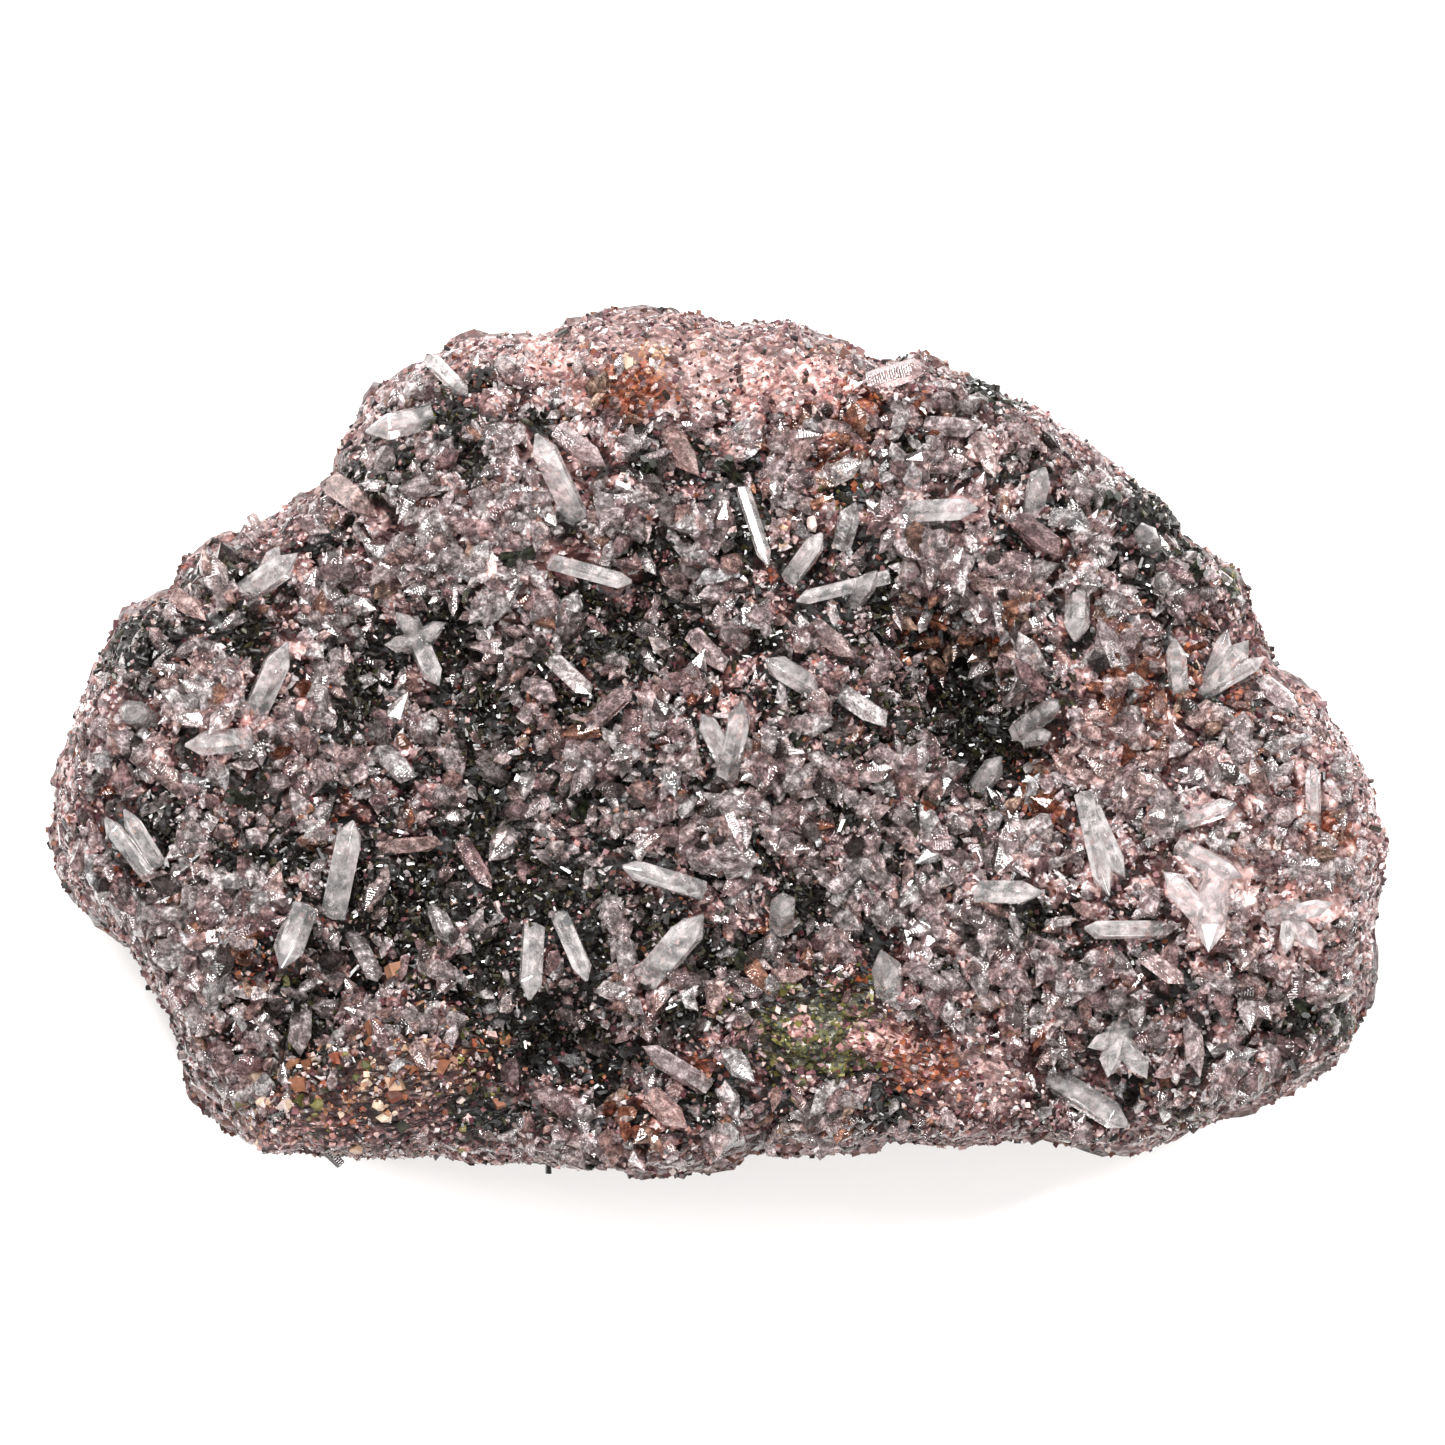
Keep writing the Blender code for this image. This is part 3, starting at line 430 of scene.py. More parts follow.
def fine_relief(place, bare, aside, rim):
    """Height of the small forms over the rock's large ones, and how far the place is in a gap, which is
    painted dark as shade.
    """
    crusted = min(1.0, max(0.0, (place.z - crust_floor(place)) / 2.5 + 0.5))
    broken = 0.0
    if crusted < 1:
        height, size = SIDE_ROUGHNESS
        broken = fracture(place, LARGE_FRACTURE) + fracture(place, SMALL_FRACTURE)
        broken += height * noise.noise(place / size)
        broken *= min(1.0, max(0.0, place.z / 3.0))
    if crusted == 0:
        return broken, 0.0
    bent = place + noise.noise_vector(place / 3.0) * 1.3
    near, far = noise.voronoi(bent / CLUMP_SIZE)[0][:2]
    rise = min(1.0, (far - near) / GAP_WIDTH)
    rise = rise * rise * (3 - 2 * rise)
    clumped = (1 - 0.8 * bare) * min(1.0, max(0.35, (1.0 - rim) / 0.14))
    relief = CLUMP_RISE * (rise - 0.55) * clumped
    knobs = noise.voronoi(place / KNOB_SIZE)[0]
    between = max(0.0, 1 - (knobs[1] - knobs[0]) / KNOB_GAP)
    relief += 0.5 * (knobs[1] - knobs[0]) - 0.15 + 0.28 * noise.noise(place / 0.9)
    # The rock keeps low beside a large crystal, so that its shaft shows.
    cleared = max(0.0, 1 - aside / LARGE_CLEARANCE)
    # The gap lies between clumps, between knobs and beside a large crystal; the rock's colour is darkened
    # there as painted shade.
    gap = max((1 - rise) * clumped, 0.45 * cleared, 0.45 * between)
    relief = relief * (1 - cleared) - 0.9 * cleared
    return crusted * relief + (1 - crusted) * broken, gap * crusted


def places_of(bm):
    """The places of a mesh's vertices, in order."""
    return np.array([vert.co[:] for vert in bm.verts])


class Rock:
    """The slab with its relief, and what each of its triangles is like as ground for crystals."""

    def __init__(self):
        self.bm = bmesh.new()
        bmesh.ops.create_icosphere(self.bm, subdivisions=ROCK_SUBDIVISIONS, radius=1)
        for vert in self.bm.verts:
            vert.co = rock_point(vert.co)
        face_edges = [e for e in self.bm.edges if min(v.co.z for v in e.verts) > CRUST_FLOOR + 1]
        bmesh.ops.subdivide_edges(self.bm, edges=face_edges, cuts=1, use_grid_fill=True)
        bmesh.ops.triangulate(self.bm, faces=self.bm.faces)
        self.bm.normal_update()
        places = places_of(self.bm)
        bare = bareness(places[:, 0], places[:, 1])
        aside = from_large(places[:, 0], places[:, 1])
        gaps = []
        for vert, flat, clear, rim in zip(self.bm.verts, bare, aside, rim_share(places)):
            rise, gap = fine_relief(vert.co, flat, clear, rim)
            vert.co = vert.co + vert.normal * rise
            vert.co.z = max(0.0, vert.co.z)
            gaps.append(gap)
        self.bm.normal_update()
        bmesh.ops.recalc_face_normals(self.bm, faces=self.bm.faces)
        self.bm.verts.index_update()
        self.places = places_of(self.bm)
        self.gaps = np.array(gaps)
        triangles = np.array([[vert.index for vert in face.verts] for face in self.bm.faces])
        triangles = triangles[self.places[triangles][:, :, 2].mean(axis=1) > 2.0]
        self.corners = self.places[triangles]
        square = np.cross(self.corners[:, 1] - self.corners[:, 0], self.corners[:, 2] - self.corners[:, 0])
        size = np.linalg.norm(square, axis=1)
        self.area = size / 2
        self.facing = square / np.maximum(size, 1e-9)[:, None]
        middle = self.corners.mean(axis=1)
        x, y = middle[:, 0], middle[:, 1]
        self.minerals = {kind: share_of(kind, x, y) for kind in PATCHES}
        self.bare = bareness(x, y)
        self.aside = from_large(x, y)
        self.rim = rim_share(middle)
        self.gap = self.gaps[triangles].mean(axis=1)
        self.covered = np.clip(over_floor(middle), 0, 1)

    def pick(self, rng, count, weight):
        """Places, facings and triangle numbers, at random with a weight on each triangle."""
        chance = self.area * weight
        chosen = rng.choice(len(chance), size=count, p=chance / chance.sum())
        a, b = rng.random(count), rng.random(count)
        flip = a + b > 1
        a[flip], b[flip] = 1 - a[flip], 1 - b[flip]
        start, left, right = (self.corners[chosen][:, n] for n in range(3))
        places = start + a[:, None] * (left - start) + b[:, None] * (right - start)
        return places, self.facing[chosen], chosen


def placed(name, data):
    """An object in the scene that holds a mesh, a lamp or a camera."""
    made = bpy.data.objects.new(name, data)
    bpy.context.scene.collection.objects.link(made)
    return made


def link_mesh(name, mesh):
    """A piece of the object from a finished mesh: it rides on the one body."""
    piece = placed(name, mesh)
    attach(piece, "root")
    return piece


def paint(mesh, name, values):
    """Stores one colour per vertex."""
    layer = mesh.color_attributes.new(name, "FLOAT_COLOR", "POINT")
    layer.data.foreach_set("color", np.ascontiguousarray(values, dtype=np.float32).ravel())


class Shape:
    """A crystal form of unit width. In z, 0 is its root, 1 its shoulder and 2 its tip."""

    def __init__(self, bm):
        bm.normal_update()
        bmesh.ops.recalc_face_normals(bm, faces=bm.faces)
        bm.verts.index_update()
        self.verts = places_of(bm)
        self.faces = [[vert.index for vert in face.verts] for face in bm.faces]
        bm.free()


def point_shape(sides, draw):
    """A quartz point: a prism under an uneven pyramid, its shoulders at different heights."""
    bm = bmesh.new()
    made = bmesh.ops.create_cone(
        bm, cap_ends=True, segments=sides, radius1=0.5, radius2=0.5, depth=1
    )["verts"]
    top = [v for v in made if v.co.z > 0]
    cap = next(f for f in top[0].link_faces if all(v in top for v in f.verts))
    peak = bmesh.ops.poke(bm, faces=[cap])["verts"]
    for vert in made:
        vert.co.z = 1 + draw.uniform(-0.22, 0.22) if vert in top else 0
    for vert in peak:
        vert.co = Vector((draw.uniform(-0.16, 0.16), draw.uniform(-0.16, 0.16), 2))
    flatness = draw.uniform(0.7, 1.1)
    for vert in bm.verts:
        vert.co.x *= flatness
    return Shape(bm)


def blade_shape(draw):
    """An epidote blade: a flat prism with a slanted blunt end."""
    bm = bmesh.new()
    made = bmesh.ops.create_cone(bm, cap_ends=True, segments=6, radius1=0.5, radius2=0.38, depth=1)["verts"]
    slant = draw.uniform(0.2, 0.5)
    for vert in made:
        vert.co.z = 2 + slant * vert.co.y if vert.co.z > 0 else 0
        vert.co.x *= 0.72
    return Shape(bm)


def grain_shape(draw):
    """An angular mineral grain."""
    bm = bmesh.new()
    bmesh.ops.create_cube(bm, size=1)
    for vert in bm.verts:
        vert.co = vert.co * draw.uniform(0.55, 0.95)
        vert.co.z += 0.5
    bmesh.ops.triangulate(bm, faces=bm.faces)
    return Shape(bm)


def pebble_shape(draw):
    """A blocky grain, big enough to be seen on its own."""
    bm = bmesh.new()
    bmesh.ops.create_icosphere(bm, subdivisions=1, radius=0.5)
    for vert in bm.verts:
        vert.co = vert.co * draw.uniform(0.7, 1.05)
        vert.co.x *= 1.25
        vert.co.z += 0.5
    return Shape(bm)


def copies_of(shape, roots, directions, lengths, widths, spins):
    """Vertices of many copies of a shape, one row of places per copy, in millimetres."""
    helper = np.where(np.abs(directions[:, 2:3]) < 0.9, (0.0, 0.0, 1.0), (1.0, 0.0, 0.0))
    side = np.cross(helper, directions)
    side /= np.linalg.norm(side, axis=1, keepdims=True)
    other = np.cross(directions, side)
    cos, sin = np.cos(spins)[:, None], np.sin(spins)[:, None]
    side, other = side * cos + other * sin, other * cos - side * sin
    flat = shape.verts[None, :, :2] * widths[:, None, None]
    level = shape.verts[None, :, 2]
    point = np.minimum(0.85 * widths, 0.42 * lengths)[:, None]
    body = lengths[:, None] - point
    rise = np.where(level <= 1.5, level * body, body + (level - 1) * point)
    return (
        roots[:, None, :]
        + flat[:, :, 0:1] * side[:, None, :]
        + flat[:, :, 1:2] * other[:, None, :]
        + rise[:, :, None] * directions[:, None, :]
    )


def joined(name, shapes, stands, colours, material):
    """One piece from many copies of a few shapes. stands holds roots, directions, lengths, widths, spins.

    The tint of each vertex carries its distance from the copy's root, in millimetres, as its alpha.
    """
    points, faces, tints = [], [], []
    start = 0
    for number, shape in enumerate(shapes):
        mine = np.arange(len(colours)) % len(shapes) == number
        copies = copies_of(shape, *(values[mine] for values in stands))
        count, size = copies.shape[:2]
        offsets = start + np.arange(count) * size
        for face in shape.faces:
            faces.extend((offsets[:, None] + np.array(face)[None, :]).tolist())
        points.append(copies.reshape(-1, 3) * MM)
        tint = np.repeat(colours[mine], size, axis=0)
        roots, directions = stands[0][mine], stands[1][mine]
        tint[:, 3] = ((copies - roots[:, None, :]) * directions[:, None, :]).sum(axis=2).ravel()
        tints.append(tint)
        start += count * size
    mesh = bpy.data.meshes.new(name)
    mesh.from_pydata(np.concatenate(points).tolist(), [], faces)
    paint(mesh, "tint", np.concatenate(tints))
    mesh.materials.append(material)
    return link_mesh(name, mesh)


def set_point(point):
    """Root, direction, length and width of a listed point, its tip kept clear of the rock."""
    root_x, root_y, tip_x, tip_y, width, lift = point
    lift = math.radians(lift)
    direction = Vector((tip_x - root_x, tip_y - root_y, 0)).normalized() * math.cos(lift)
    direction.z = math.sin(lift)
    shown = math.hypot(tip_x - root_x, tip_y - root_y) / math.cos(lift)
    surface = Vector((root_x, root_y, surface_height(root_x, root_y) + 0.2 * width))
    short = max(0.0, surface_height(tip_x, tip_y) + 0.35 * width - (surface + direction * shown).z)
    direction = (direction * shown + Vector((0, 0, short))).normalized()
    return surface - direction * ROOT_DEPTH, direction, shown + ROOT_DEPTH, width


def fused_points():
    """Root, direction, length and width of the points that the CAD fuses to the rock."""
    axes = list(LARGE_AXES) + [point[:4] for point in SET_POINTS]
    named = [Vector(axis[0:2]).lerp(Vector(axis[2:4]), t) for axis in axes for t in (0, 0.5, 1)]
    named += [Vector(root) for root in EPIDOTE_ROOTS]
    points = [set_point(point) for point in SET_POINTS]
    draw = random.Random(CRUST_SEED)
    taken = []
    for _ in range(CRUST_TRIES):
        x, y = draw.uniform(-HALF_LENGTH, HALF_LENGTH), draw.uniform(-HALF_WIDTH, HALF_WIDTH)
        sizes = draw.uniform(*CRUST_LENGTHS), draw.uniform(*CRUST_WIDTHS)
        tilt = Vector((draw.gauss(0, CRUST_TILT), draw.gauss(0, CRUST_TILT), draw.gauss(0, 0.2)))
        inside = math.hypot(x, y) < outline_reach(math.atan2(y, x)) - 3
        if not inside or bareness(x, y) > 0.5 or len(taken) == CRUST_COUNT:
            continue
        place = Vector((x, y))
        if any((place - other).length < CRUST_SPACING for other in taken):
            continue
        if any((place - other).length < CRUST_CLEARANCE for other in named):
            continue
        taken.append(place)
        direction = (surface_normal(x, y) + tilt).normalized()
        direction.z = max(direction.z, 0.25)
        direction.normalize()
        surface = Vector((x, y, surface_height(x, y)))
        points.append((surface - direction * ROOT_DEPTH, direction, *sizes))
    return points


def linear(code):
    """An sRGB hex colour as linear numbers with full alpha."""
    parts = [int(code[i : i + 2], 16) / 255 for i in (1, 3, 5)]
    return (*[c / 12.92 if c <= 0.04045 else ((c + 0.055) / 1.055) ** 2.4 for c in parts], 1.0)


def add(tree, kind, settings, stops=(), steps="LINEAR"):
    """Adds a shader node and gives back its outputs.

    Each setting is a value or a socket to link, for an input or a property of that name. A colour ramp
    also takes its stops, as place and colour, and how it steps from one to the next.
    """
    made = tree.nodes.new("ShaderNode" + kind)
    for name, value in settings.items():
        if isinstance(name, str) and name not in made.inputs:
            setattr(made, name, value)
        elif isinstance(value, bpy.types.NodeSocket):
            tree.links.new(value, made.inputs[name])
        else:
            made.inputs[name].default_value = value
    for number, (place, code) in enumerate(stops):
        if number >= len(made.color_ramp.elements):
            made.color_ramp.elements.new(place)
        made.color_ramp.elements[number].position = place
        made.color_ramp.elements[number].color = linear(code)
        made.color_ramp.interpolation = steps
    return made.outputs


def link(tree, shader, sockets):
    """Links each socket to the shader's input of that name."""
    for name, socket in sockets.items():
        tree.links.new(socket, shader.inputs[name])


def new_material(name, ior, settings):
    """A material with one Principled shader, the values that hold all over, and Object coordinates."""
    material = bpy.data.materials.new(name)
    material.use_nodes = True
    tree = material.node_tree
    shader = tree.nodes["Principled BSDF"]
    shader.inputs["IOR"].default_value = ior
    for socket, value in settings.items():
        shader.inputs[socket].default_value = value
    return material, tree, shader, add(tree, "TexCoord", {})["Object"]


def rock_material():
    """Host rock, broken: mauve and purple-brown grains, a pale sugary skin, stains and painted shade in the
    gaps.
    """
    material, tree, shader, coords = new_material("Host rock, broken and weathered", 1.55, {})
    # Grains 0.4 mm across: each cell is one of the rock's minerals.
    grains = add(tree, "TexVoronoi", {"Scale": 1 / (0.4 * MM), "Vector": coords})
    kind = add(tree, "SeparateColor", {"Color": grains["Color"]})
    speckle = add(tree, "ValToRGB", {"Fac": kind["Red"]}, SPECKLE, "CONSTANT")
    sugar = add(tree, "ValToRGB", {"Fac": kind["Red"]}, SUGAR, "CONSTANT")
    drift = add(tree, "TexNoise", {"Scale": 1 / (3.2 * MM), "Detail": 4.0, "Vector": coords})
    broken = add(tree, "ValToRGB", {"Fac": drift["Fac"]}, BROKEN_SIDE)
    # Where the face is bare, where sugar covers it, and where the slab's side is plainly broken.
    ground = add(tree, "VertexColor", {"layer_name": "ground"})
    parts = add(tree, "SeparateColor", {"Color": ground["Color"]})
    sided = add(tree, "Math", {"operation": "MULTIPLY", 0: parts["Blue"], 1: 0.8})
    # Layers over the dull rock: how each blends, where it lies and its colour. Pale zones are screened
    # with a light pink, so that their dark grains stay visible.
    layers = [
        ("MIX", drift["Fac"], speckle["Color"]),
        ("MIX", sided[0], broken["Color"]),
        ("MIX", parts["Green"], sugar["Color"]),
        ("SCREEN", ground["Alpha"], linear("#BFA49F")),
    ]
    minerals = add(tree, "VertexColor", {"layer_name": "minerals"})
    masks = add(tree, "SeparateColor", {"Color": minerals["Color"]})
    ragged = add(tree, "TexNoise", {"Scale": 1 / (1.3 * MM), "Detail": 5.0, "Vector": coords})
    ragged_edge = {"interpolation_type": "SMOOTHSTEP", "From Min": 1.12, "From Max": 1.32}
    for channel, codes in STAINS.items():
        mask = minerals["Alpha"] if channel == "Alpha" else masks[channel]
        reach = add(tree, "Math", {"operation": "MULTIPLY_ADD", 0: ragged["Fac"], 1: 1.6, 2: mask})
        cover = add(tree, "MapRange", {**ragged_edge, "Value": reach[0]})
        stops = [(number / 4, code) for number, code in enumerate(codes)]
        stain = add(tree, "ValToRGB", {"Fac": kind["Green"]}, stops)
        layers.append(("MIX", cover["Result"], stain["Color"]))
    # Painted shade darkens the gaps; the darkest patches get near-black epidote dust, in places also painted
    # shadow.
    shade_and_dust = add(tree, "ValToRGB", {"Fac": parts["Red"]}, GAP_SHADE_AND_DARK_DUST)
    layers.append(("MULTIPLY", 1.0, shade_and_dust["Color"]))
    colour = linear("#4A2F2E")
    for blend, share, layer in layers:
        mixed = {"data_type": "RGBA", "blend_type": blend, 0: share, 6: colour, 7: layer}
        colour = add(tree, "Mix", mixed)[2]
    gloss = add(tree, "MapRange", {"To Min": 0.2, "To Max": 0.75, "Value": kind["Blue"]})
    height = add(tree, "Math", {"operation": "MULTIPLY_ADD", 0: drift["Fac"], 1: 2.0, 2: kind["Blue"]})
    bump = add(tree, "Bump", {"Strength": 0.9, "Distance": 0.18 * MM, "Height": height[0]})
    link(tree, shader, {"Base Color": colour, "Roughness": gloss[0], "Normal": bump[0]})
    return material


def quartz_material(name, clearness, roughness, absorption=None):
    """Natural quartz: bright facets over a see-through body with milky veils and fine inclusions.

    With an absorption colour it is for the large crystals, whose facets are smooth. Without one it is
    for the small ones, which have their own tints and growth lines across them.
    """
    material, tree, shader, coords = new_material(name, 1.544, {})
    veil_mm, fineness, milky = (1.3, 2.5, 0.24) if absorption else (0.9, 5.0, 0.42)
    veil = {"Scale": 1 / (veil_mm * MM), "Detail": fineness, "Roughness": 0.6, "Vector": coords}
    veils = add(tree, "TexNoise", veil)["Fac"]
    specks = add(tree, "TexNoise", {"Scale": 1 / (0.3 * MM), "Detail": 2.0, "Vector": coords})
    if absorption:
        body = add(tree, "ValToRGB", {"Fac": veils}, MILK)["Color"]
        depth = add(tree, "VolumeAbsorption", {"Color": linear(absorption), "Density": 45.0})
        tree.links.new(depth["Volume"], tree.nodes["Material Output"].inputs["Volume"])
        relief, depth_mm, speckled = specks["Fac"], 0.004, 0.15
    else:
        tints = add(tree, "VertexColor", {"layer_name": "tint"})
        body = tints["Color"]
        # Growth lines 0.25 mm apart, coarser than real ones so that they show.
        turns = add(tree, "Math", {"operation": "MULTIPLY", 0: tints["Alpha"], 1: math.tau / 0.25})
        growth = add(tree, "Math", {"operation": "SINE", 0: turns[0]})
        relief = add(tree, "Math", {"operation": "MULTIPLY_ADD", 0: growth[0], 1: 0.12, 2: specks[0]})[0]
        depth_mm, speckled = 0.035, 0.6
    inclusions = add(tree, "ValToRGB", {"Fac": specks["Fac"]}, INCLUSIONS)
    mixed = {"data_type": "RGBA", "blend_type": "MULTIPLY", 0: speckled, 6: body, 7: inclusions["Color"]}
    tint = add(tree, "Mix", mixed)
    clouding = {"From Min": 0.45, "From Max": 0.7, "To Min": clearness, "To Max": clearness - milky}
    clear = add(tree, "MapRange", {**clouding, "Value": veils})
    matt = add(tree, "MapRange", {"To Min": roughness * 0.4, "To Max": roughness * 1.8, "Value": veils})
    bump = add(tree, "Bump", {"Strength": 1.0, "Distance": depth_mm * MM, "Height": relief})
    link(tree, shader, {
        "Base Color": tint[2], "Transmission Weight": clear[0], "Roughness": matt[0], "Normal": bump[0],
    })
    return material


def epidote_material():
    """Natural epidote: nearly black green with glassy facets, olive on thin edges."""
    material, tree, shader, coords = new_material("Epidote, grown, dark green", 1.75, {})
    cloud = add(tree, "TexNoise", {"Scale": 1 / (0.9 * MM), "Detail": 4.0, "Vector": coords})
    body = add(tree, "ValToRGB", {"Fac": cloud["Fac"]}, DARK_GREEN)
    matt = add(tree, "MapRange", {"To Min": 0.12, "To Max": 0.45, "Value": cloud["Fac"]})
    link(tree, shader, {"Base Color": body[0], "Roughness": matt[0]})
    return material


def grain_material(name, ior, smoothest, roughest):
    """Grains and small blades: each has one tint and a clouded surface with specks of dirt."""
    material, tree, shader, coords = new_material(name, ior, {})
    cloud = add(tree, "TexNoise", {"Scale": 1 / (0.5 * MM), "Detail": 3.0, "Vector": coords})
    tint = add(tree, "VertexColor", {"layer_name": "tint"})
    dirty = add(tree, "Mix", {"data_type": "RGBA", 0: 0.6, 6: tint["Color"], 7: linear("#171010")})
    colour = add(tree, "Mix", {"data_type": "RGBA", 0: cloud["Fac"], 6: dirty[2], 7: tint["Color"]})
    matt = add(tree, "MapRange", {"To Min": smoothest, "To Max": roughest, "Value": cloud["Fac"]})
    link(tree, shader, {"Base Color": colour[2], "Roughness": matt[0]})
    return material


def leaned(rng, facing, spread):
    """Each facing turned aside at random."""
    direction = facing + rng.normal(0, spread, facing.shape)
    direction[:, 2] = np.maximum(direction[:, 2], 0.25 * rng.random(len(direction)))
    return direction / np.linalg.norm(direction, axis=1, keepdims=True)


def kept_in(places, directions):
    """Directions near the rim turned upright, so that points don't bristle round the outline."""
    turn = np.arctan2(places[:, 1], places[:, 0])
    outward = np.stack([np.cos(turn), np.sin(turn), np.zeros_like(turn)], axis=1)
    nearness = np.clip((rim_share(places) - 0.88) / 0.07, 0, 1)
    lean = np.maximum(0, (directions * outward).sum(axis=1)) * nearness
    directions = directions - 0.85 * lean[:, None] * outward
    directions[:, 2] = np.maximum(directions[:, 2], 0.1)
    return directions / np.linalg.norm(directions, axis=1, keepdims=True)


def tinted(rng, picks, palettes):
    """A colour for each copy: one at random from the palette that it picked, a little lighter or darker."""
    colours = np.ones((len(picks), 4))
    for number, palette in enumerate(palettes):
        mine = picks == number
        table = np.array([linear(code) for code in palette])
        colours[mine] = table[rng.integers(0, len(table), mine.sum())]
    colours[:, :3] *= rng.uniform(0.75, 1.1, (len(picks), 1))
    return np.clip(colours, 0, 1)


def strew(name, rock, shapes, weight, colour, material):
    """One piece of many small crystals or grains on the rock, more of them where the weight is high."""
    seed, count, widths, slenderness, spread, sunk = COVER[name]
    rng = np.random.default_rng(seed)
    places, facing, chosen = rock.pick(rng, count, weight)
    directions = kept_in(places, leaned(rng, facing, spread))
    width = np.exp(rng.uniform(math.log(widths[0]), math.log(widths[1]), count))
    length = width * rng.uniform(*slenderness, count)
    edge = np.clip((rock.rim[chosen] - 0.93) / 0.05, 0, 1)
    roots = places - directions * (length * (sunk + 0.3 * edge))[:, None]
    spins = rng.uniform(0, math.tau, count)
    colours = colour(rng, chosen)
    tips = roots + directions * length[:, None]
    reach = outline_reach(np.arctan2(tips[:, 1], tips[:, 0]))
    inside = np.hypot(tips[:, 0], tips[:, 1]) < reach + 0.1
    stands = [values[inside] for values in (roots, directions, length, width, spins)]
    return joined(name, shapes, stands, colours[inside], material)


def make_rock():
    """The slab, in the place of the CAD's, with its minerals painted on, and painted shade in its gaps."""
    rock = Rock()
    bmesh.ops.scale(rock.bm, vec=(MM, MM, MM), verts=rock.bm.verts)
    mesh = bpy.data.meshes.new("rock_slab")
    rock.bm.to_mesh(mesh)
    rock.bm.free()
    x, y = rock.places.T[:2]
    high = np.clip(over_floor(rock.places) + 0.5, 0, 1)
    stains = [share_of(kind, x, y) * high for kind in ("rust", "olive", "pink", "cream")]
    paint(mesh, "minerals", np.stack(stains, axis=1))
    pale = share_of("pale", x, y) * np.clip((1.02 - rim_share(rock.places)) / 0.1, 0.3, 1)
    # Red: painted shade in the gaps, weaker where pale, and the dark patches, which are epidote and in places
    # painted shadow.
    gap_shade_and_dark_patches = np.clip(0.8 * rock.gaps * (1 - 0.65 * pale) + 0.85 * share_of("dark", x, y) * high, 0, 1)
    sugar = (1 - bareness(x, y)) * high
    paint(mesh, "ground", np.stack([gap_shade_and_dark_patches, sugar, 1 - high, pale * high], axis=1))
    mesh.materials.append(rock_material())
    piece = link_mesh("rock_slab", mesh)
    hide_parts("host_rock")
    return rock


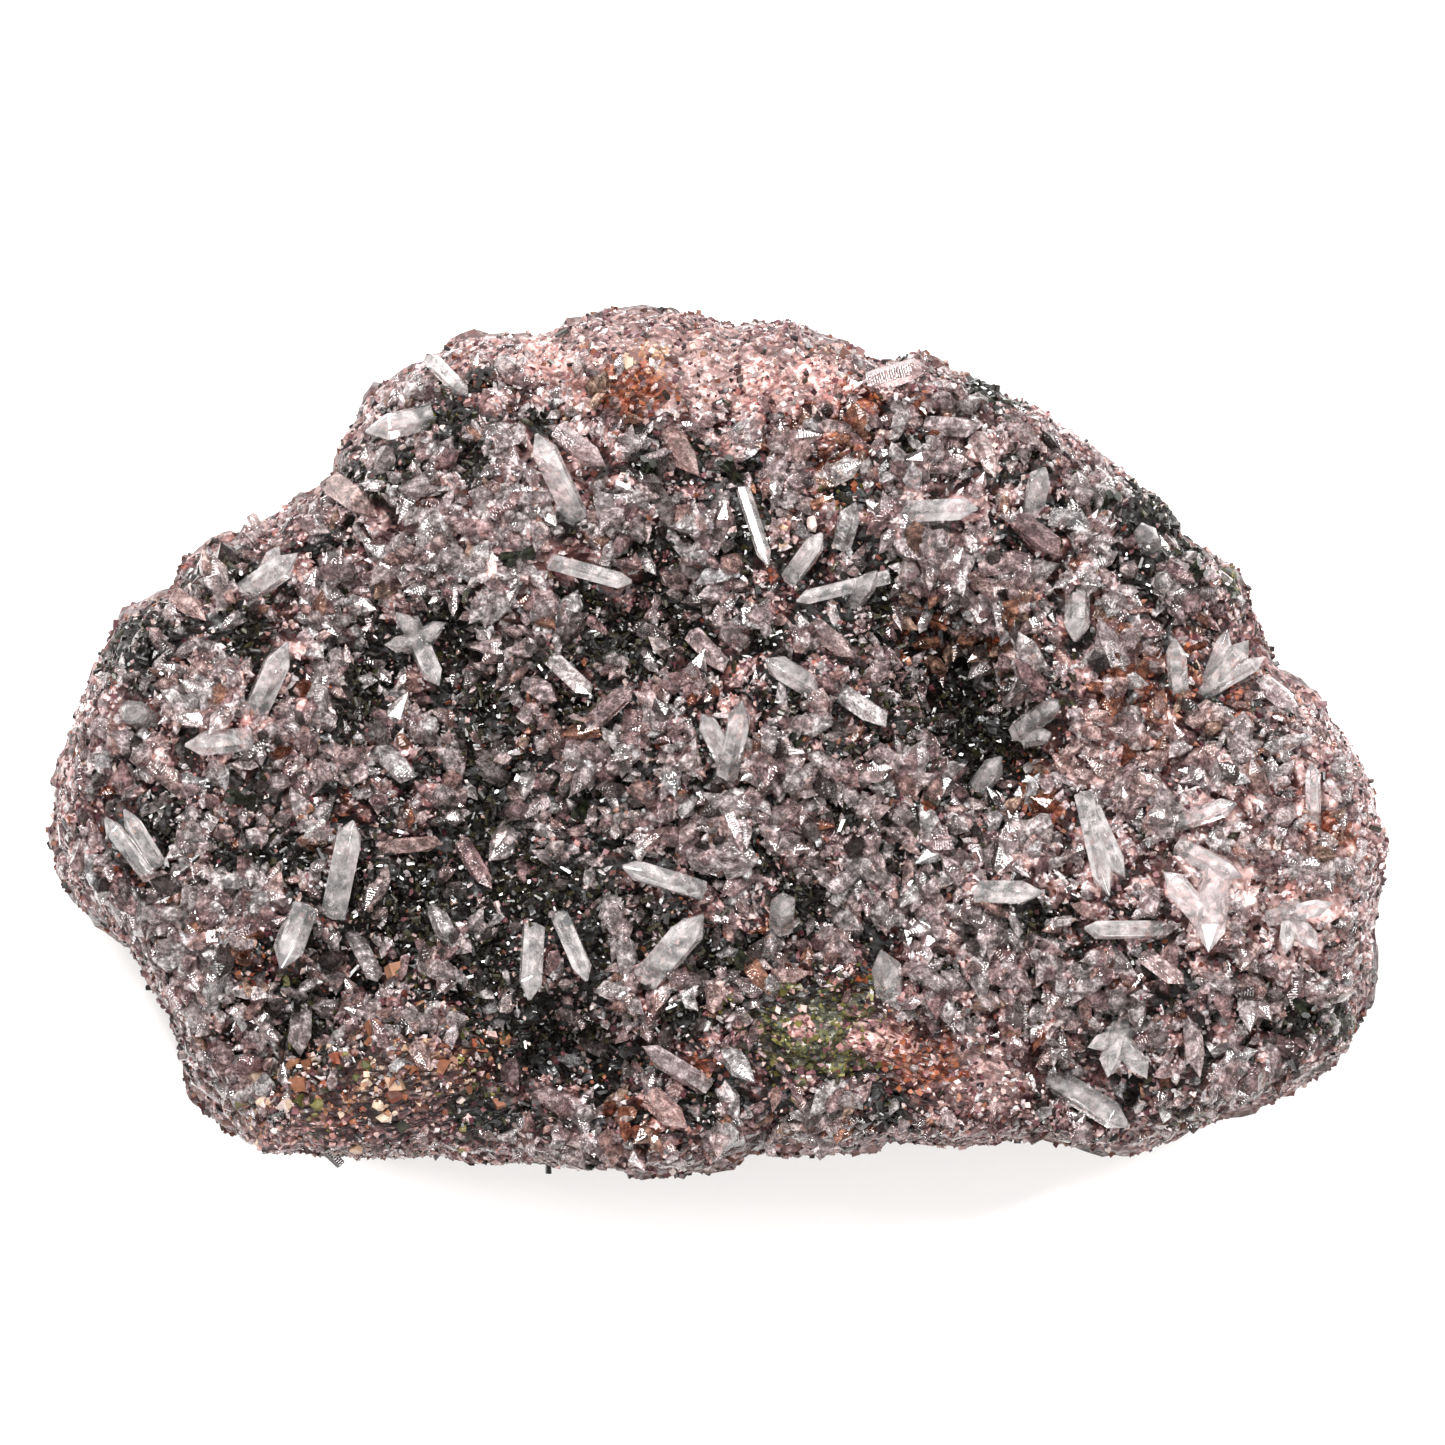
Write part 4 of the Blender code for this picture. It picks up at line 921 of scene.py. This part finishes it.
def make_cover(rock):
    """The small crystals and grains that cover the rock."""
    draw = random.Random(4)
    points = [point_shape(6, draw) for _ in range(5)]
    slim_points = [point_shape(4, draw) for _ in range(4)]
    blades = [blade_shape(draw) for _ in range(3)]
    grains = [grain_shape(draw) for _ in range(3)]
    pebbles = [pebble_shape(draw) for _ in range(4)]
    small = quartz_material("Quartz, grown, small points", 0.9, 0.04)
    minute = quartz_material("Quartz, grown, sugary crust", 0.7, 0.08)
    blades_dark = grain_material("Epidote, grown, small blades", 1.75, 0.08, 0.4)
    loose = grain_material("Rock grains, broken", 1.55, 0.25, 0.7)
    minerals, gap, covered = rock.minerals, rock.gap, rock.covered
    open_face = 1 - rock.bare

    def quartz_colour(rng, chosen):
        rust, pink, dark = (minerals[kind][chosen] for kind in ("rust", "pink", "dark"))
        roll = rng.random(len(chosen))
        light = minerals["pale"][chosen]
        picks = np.where(roll < 0.4 + 0.35 * light, 0, np.where(roll < 0.82 + 0.1 * light, 1, 2))
        # Smoky points gather in the dark patches, partly as painted shadow.
        chances = (2, 0.6 * pink), (3, 0.03 + 0.7 * rust), (4, (0.1 + 0.35 * dark) * (1 - light))
        for number, chance in chances:
            picks = np.where(rng.random(len(chosen)) < chance, number, picks)
        return tinted(rng, picks, (CLEAR, MAUVE, BLUSH, STAINED, SMOKY))

    def grain_colour(rng, chosen):
        roll = rng.random(len(chosen))
        picks = np.where(roll < 0.55, 0, np.where(roll < 0.68, 1, 2))
        # Black grains gather in the dark patches, partly as painted shadow.
        stained = (("pink", 0.8), ("rust", 0.85), ("olive", 0.8), ("cream", 0.7), ("dark", 0.6))
        for number, (kind, most) in enumerate(stained, start=3):
            picks = np.where(rng.random(len(chosen)) < most * minerals[kind][chosen], number, picks)
        palettes = (GRAIN_PURPLE, GRAIN_BROWN, GRAIN_PALE, GRAIN_PINK, GRAIN_RUST, GRAIN_OLIVE)
        return tinted(rng, picks, palettes + (GRAIN_CREAM, GRAIN_BLACK))

    def side_colour(rng, chosen):
        picks = rng.choice(4, len(chosen), p=(0.42, 0.36, 0.12, 0.1))
        return tinted(rng, picks, (GRAIN_PURPLE, GRAIN_BROWN, GRAIN_PALE, GRAIN_BLACK))

    def cream_colour(rng, chosen):
        picks = rng.choice(4, len(chosen), p=(0.5, 0.2, 0.15, 0.15))
        return tinted(rng, picks, (GRAIN_CREAM, GRAIN_PALE, GRAIN_OLIVE, GRAIN_RUST))

    def epidote_colour(rng, chosen):
        return tinted(rng, np.zeros(len(chosen), int), (EPIDOTE_TINTS,))

    fused = fused_points()
    rng = np.random.default_rng(11)
    stands = [np.array([point[n][:] for point in fused]) for n in (0, 1)]
    stands += [np.array([point[n] for point in fused]) for n in (2, 3)]
    stands.append(rng.uniform(0, math.tau, len(fused)))
    joined("fused_quartz_points", points, stands,
           tinted(rng, rng.integers(0, 3, len(fused)), (CLEAR, MAUVE, BLUSH)), small)

    # Crystals keep clear of the gaps, the dark patches, the large crystals and, when big, of the rim.
    # The bare numbers below are shares that were matched to the photograph.
    stained = np.maximum(minerals["rust"], minerals["olive"])
    pale = minerals["pale"]
    lit = covered * (1 - 0.9 * gap) * (1 - 0.95 * minerals["dark"]) ** 1.5 * (1 - 0.85 * stained)
    beside = {width: np.clip((rock.aside - width) / 0.6, 0, 1) for width in (0.8, 1.6, 2.6)}
    within = {share: np.clip((share - rock.rim) / 0.03, 0, 1) for share in (0.95, 0.98)}
    strew("middling_quartz_points", rock, points, open_face**2.5 * lit * beside[2.6] * within[0.95],
          quartz_colour, small)
    strew("small_quartz_points", rock, points, open_face**2 * lit * beside[1.6] * within[0.98],
          quartz_colour, small)
    sugary = (0.22 + 0.78 * open_face) * lit * (1 + pale) * beside[0.8]
    strew("sugary_quartz_crust", rock, slim_points, sugary, quartz_colour, minute)
    # Black blades fill the dark patches and some gaps: epidote, and in places dark blades put where there is
    # only shade.
    dark_ground = (0.04 + 1.8 * minerals["dark"] + 0.3 * gap) * (0.1 + open_face) * (1 - 0.6 * stained)
    dark_ground *= covered * (1 - 0.8 * pale)
    strew("dark_epidote_blades", rock, blades, dark_ground, epidote_colour, blades_dark)
    strew("mixed_rock_grains", rock, grains, covered * (0.25 + 0.9 * rock.bare + 0.9 * stained + 0.6 * gap),
          grain_colour, loose)
    strew("side_rock_grains", rock, grains, (1 - covered) ** 2, side_colour, loose)
    strew("cream_grains", rock, grains + pebbles, covered * minerals["cream"],
          cream_colour, loose)


def finish_nodes():
    """The CAD's own crystals: merged facets, a fine bevel that catches light, and clear quartz or epidote."""
    clear = quartz_material("Quartz, grown, clear", 0.91, 0.015, "#E2D6D7")
    dark = epidote_material()
    for name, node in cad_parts.items():
        if name == "host_rock":
            continue
        weld = node.modifiers.new("Weld", "WELD")
        weld.merge_threshold = 0.002 * MM
        bevel = node.modifiers.new("Bevel", "BEVEL")
        bevel.width = 0.1 * MM
        bevel.segments = 1
        bevel.limit_method = "ANGLE"
        bevel.angle_limit = math.radians(18)
        for slot in node.material_slots:
            slot.material = clear if name.startswith("quartz") else dark


def light_and_camera():
    """A plain pale floor, soft lights mostly from the photograph's top, and a long lens square to it."""
    scene = bpy.context.scene
    bm = bmesh.new()
    bmesh.ops.create_grid(bm, x_segments=1, y_segments=1, size=2.0)
    mesh = bpy.data.meshes.new("floor")
    bm.to_mesh(mesh)
    bm.free()
    material = new_material("Paper floor, matt", 1.5, {"Base Color": linear("#F7F6F5"), "Roughness": 0.9})[0]
    mesh.materials.append(material)
    floor = placed("floor", mesh)

    world = bpy.data.worlds.new("Soft studio")
    scene.world = world
    world.use_nodes = True
    studio = world.node_tree.nodes["Background"]
    studio.inputs["Color"].default_value = linear("#F5F4F3")
    studio.inputs["Strength"].default_value = 0.48

    # Place, size in metres and power in watts. Small bright lamps make the crisp white glints.
    lamps = (
        ("Top softbox", (-0.12, 0.56, 1.0), 0.4, 20.0),
        ("Overhead softbox", (0.15, -0.35, 1.45), 0.5, 12.0),
        ("Left lamp", (-0.85, 0.15, 0.6), 0.16, 3.2),
        ("Right lamp", (0.8, 0.35, 0.7), 0.16, 5.0),
    )
    for name, place, size, power in lamps:
        lamp = bpy.data.lights.new(name, "AREA")
        lamp.size = size
        lamp.energy = power
        holder = placed(name, lamp)
        holder.location = place
        holder.rotation_euler = (Vector((0, 0, 0.02)) - Vector(place)).to_track_quat("-Z", "Y").to_euler()

    # The photograph's frame is 143.3 mm wide at the height of the crystal face.
    distance, face_z, frame_width = 1.2, 0.030, 0.1433
    camera = bpy.data.cameras.new("Camera")
    camera.sensor_width = 36
    camera.lens = camera.sensor_width * distance / frame_width
    camera.clip_end = 10
    scene.camera = placed("Camera", camera)
    scene.camera.location = (0.0004, 0.0021, face_z + distance)
    scene.view_settings.view_transform = "Standard"
    scene.view_settings.look = "Medium High Contrast"


make_cover(make_rock())
finish_nodes()
light_and_camera()
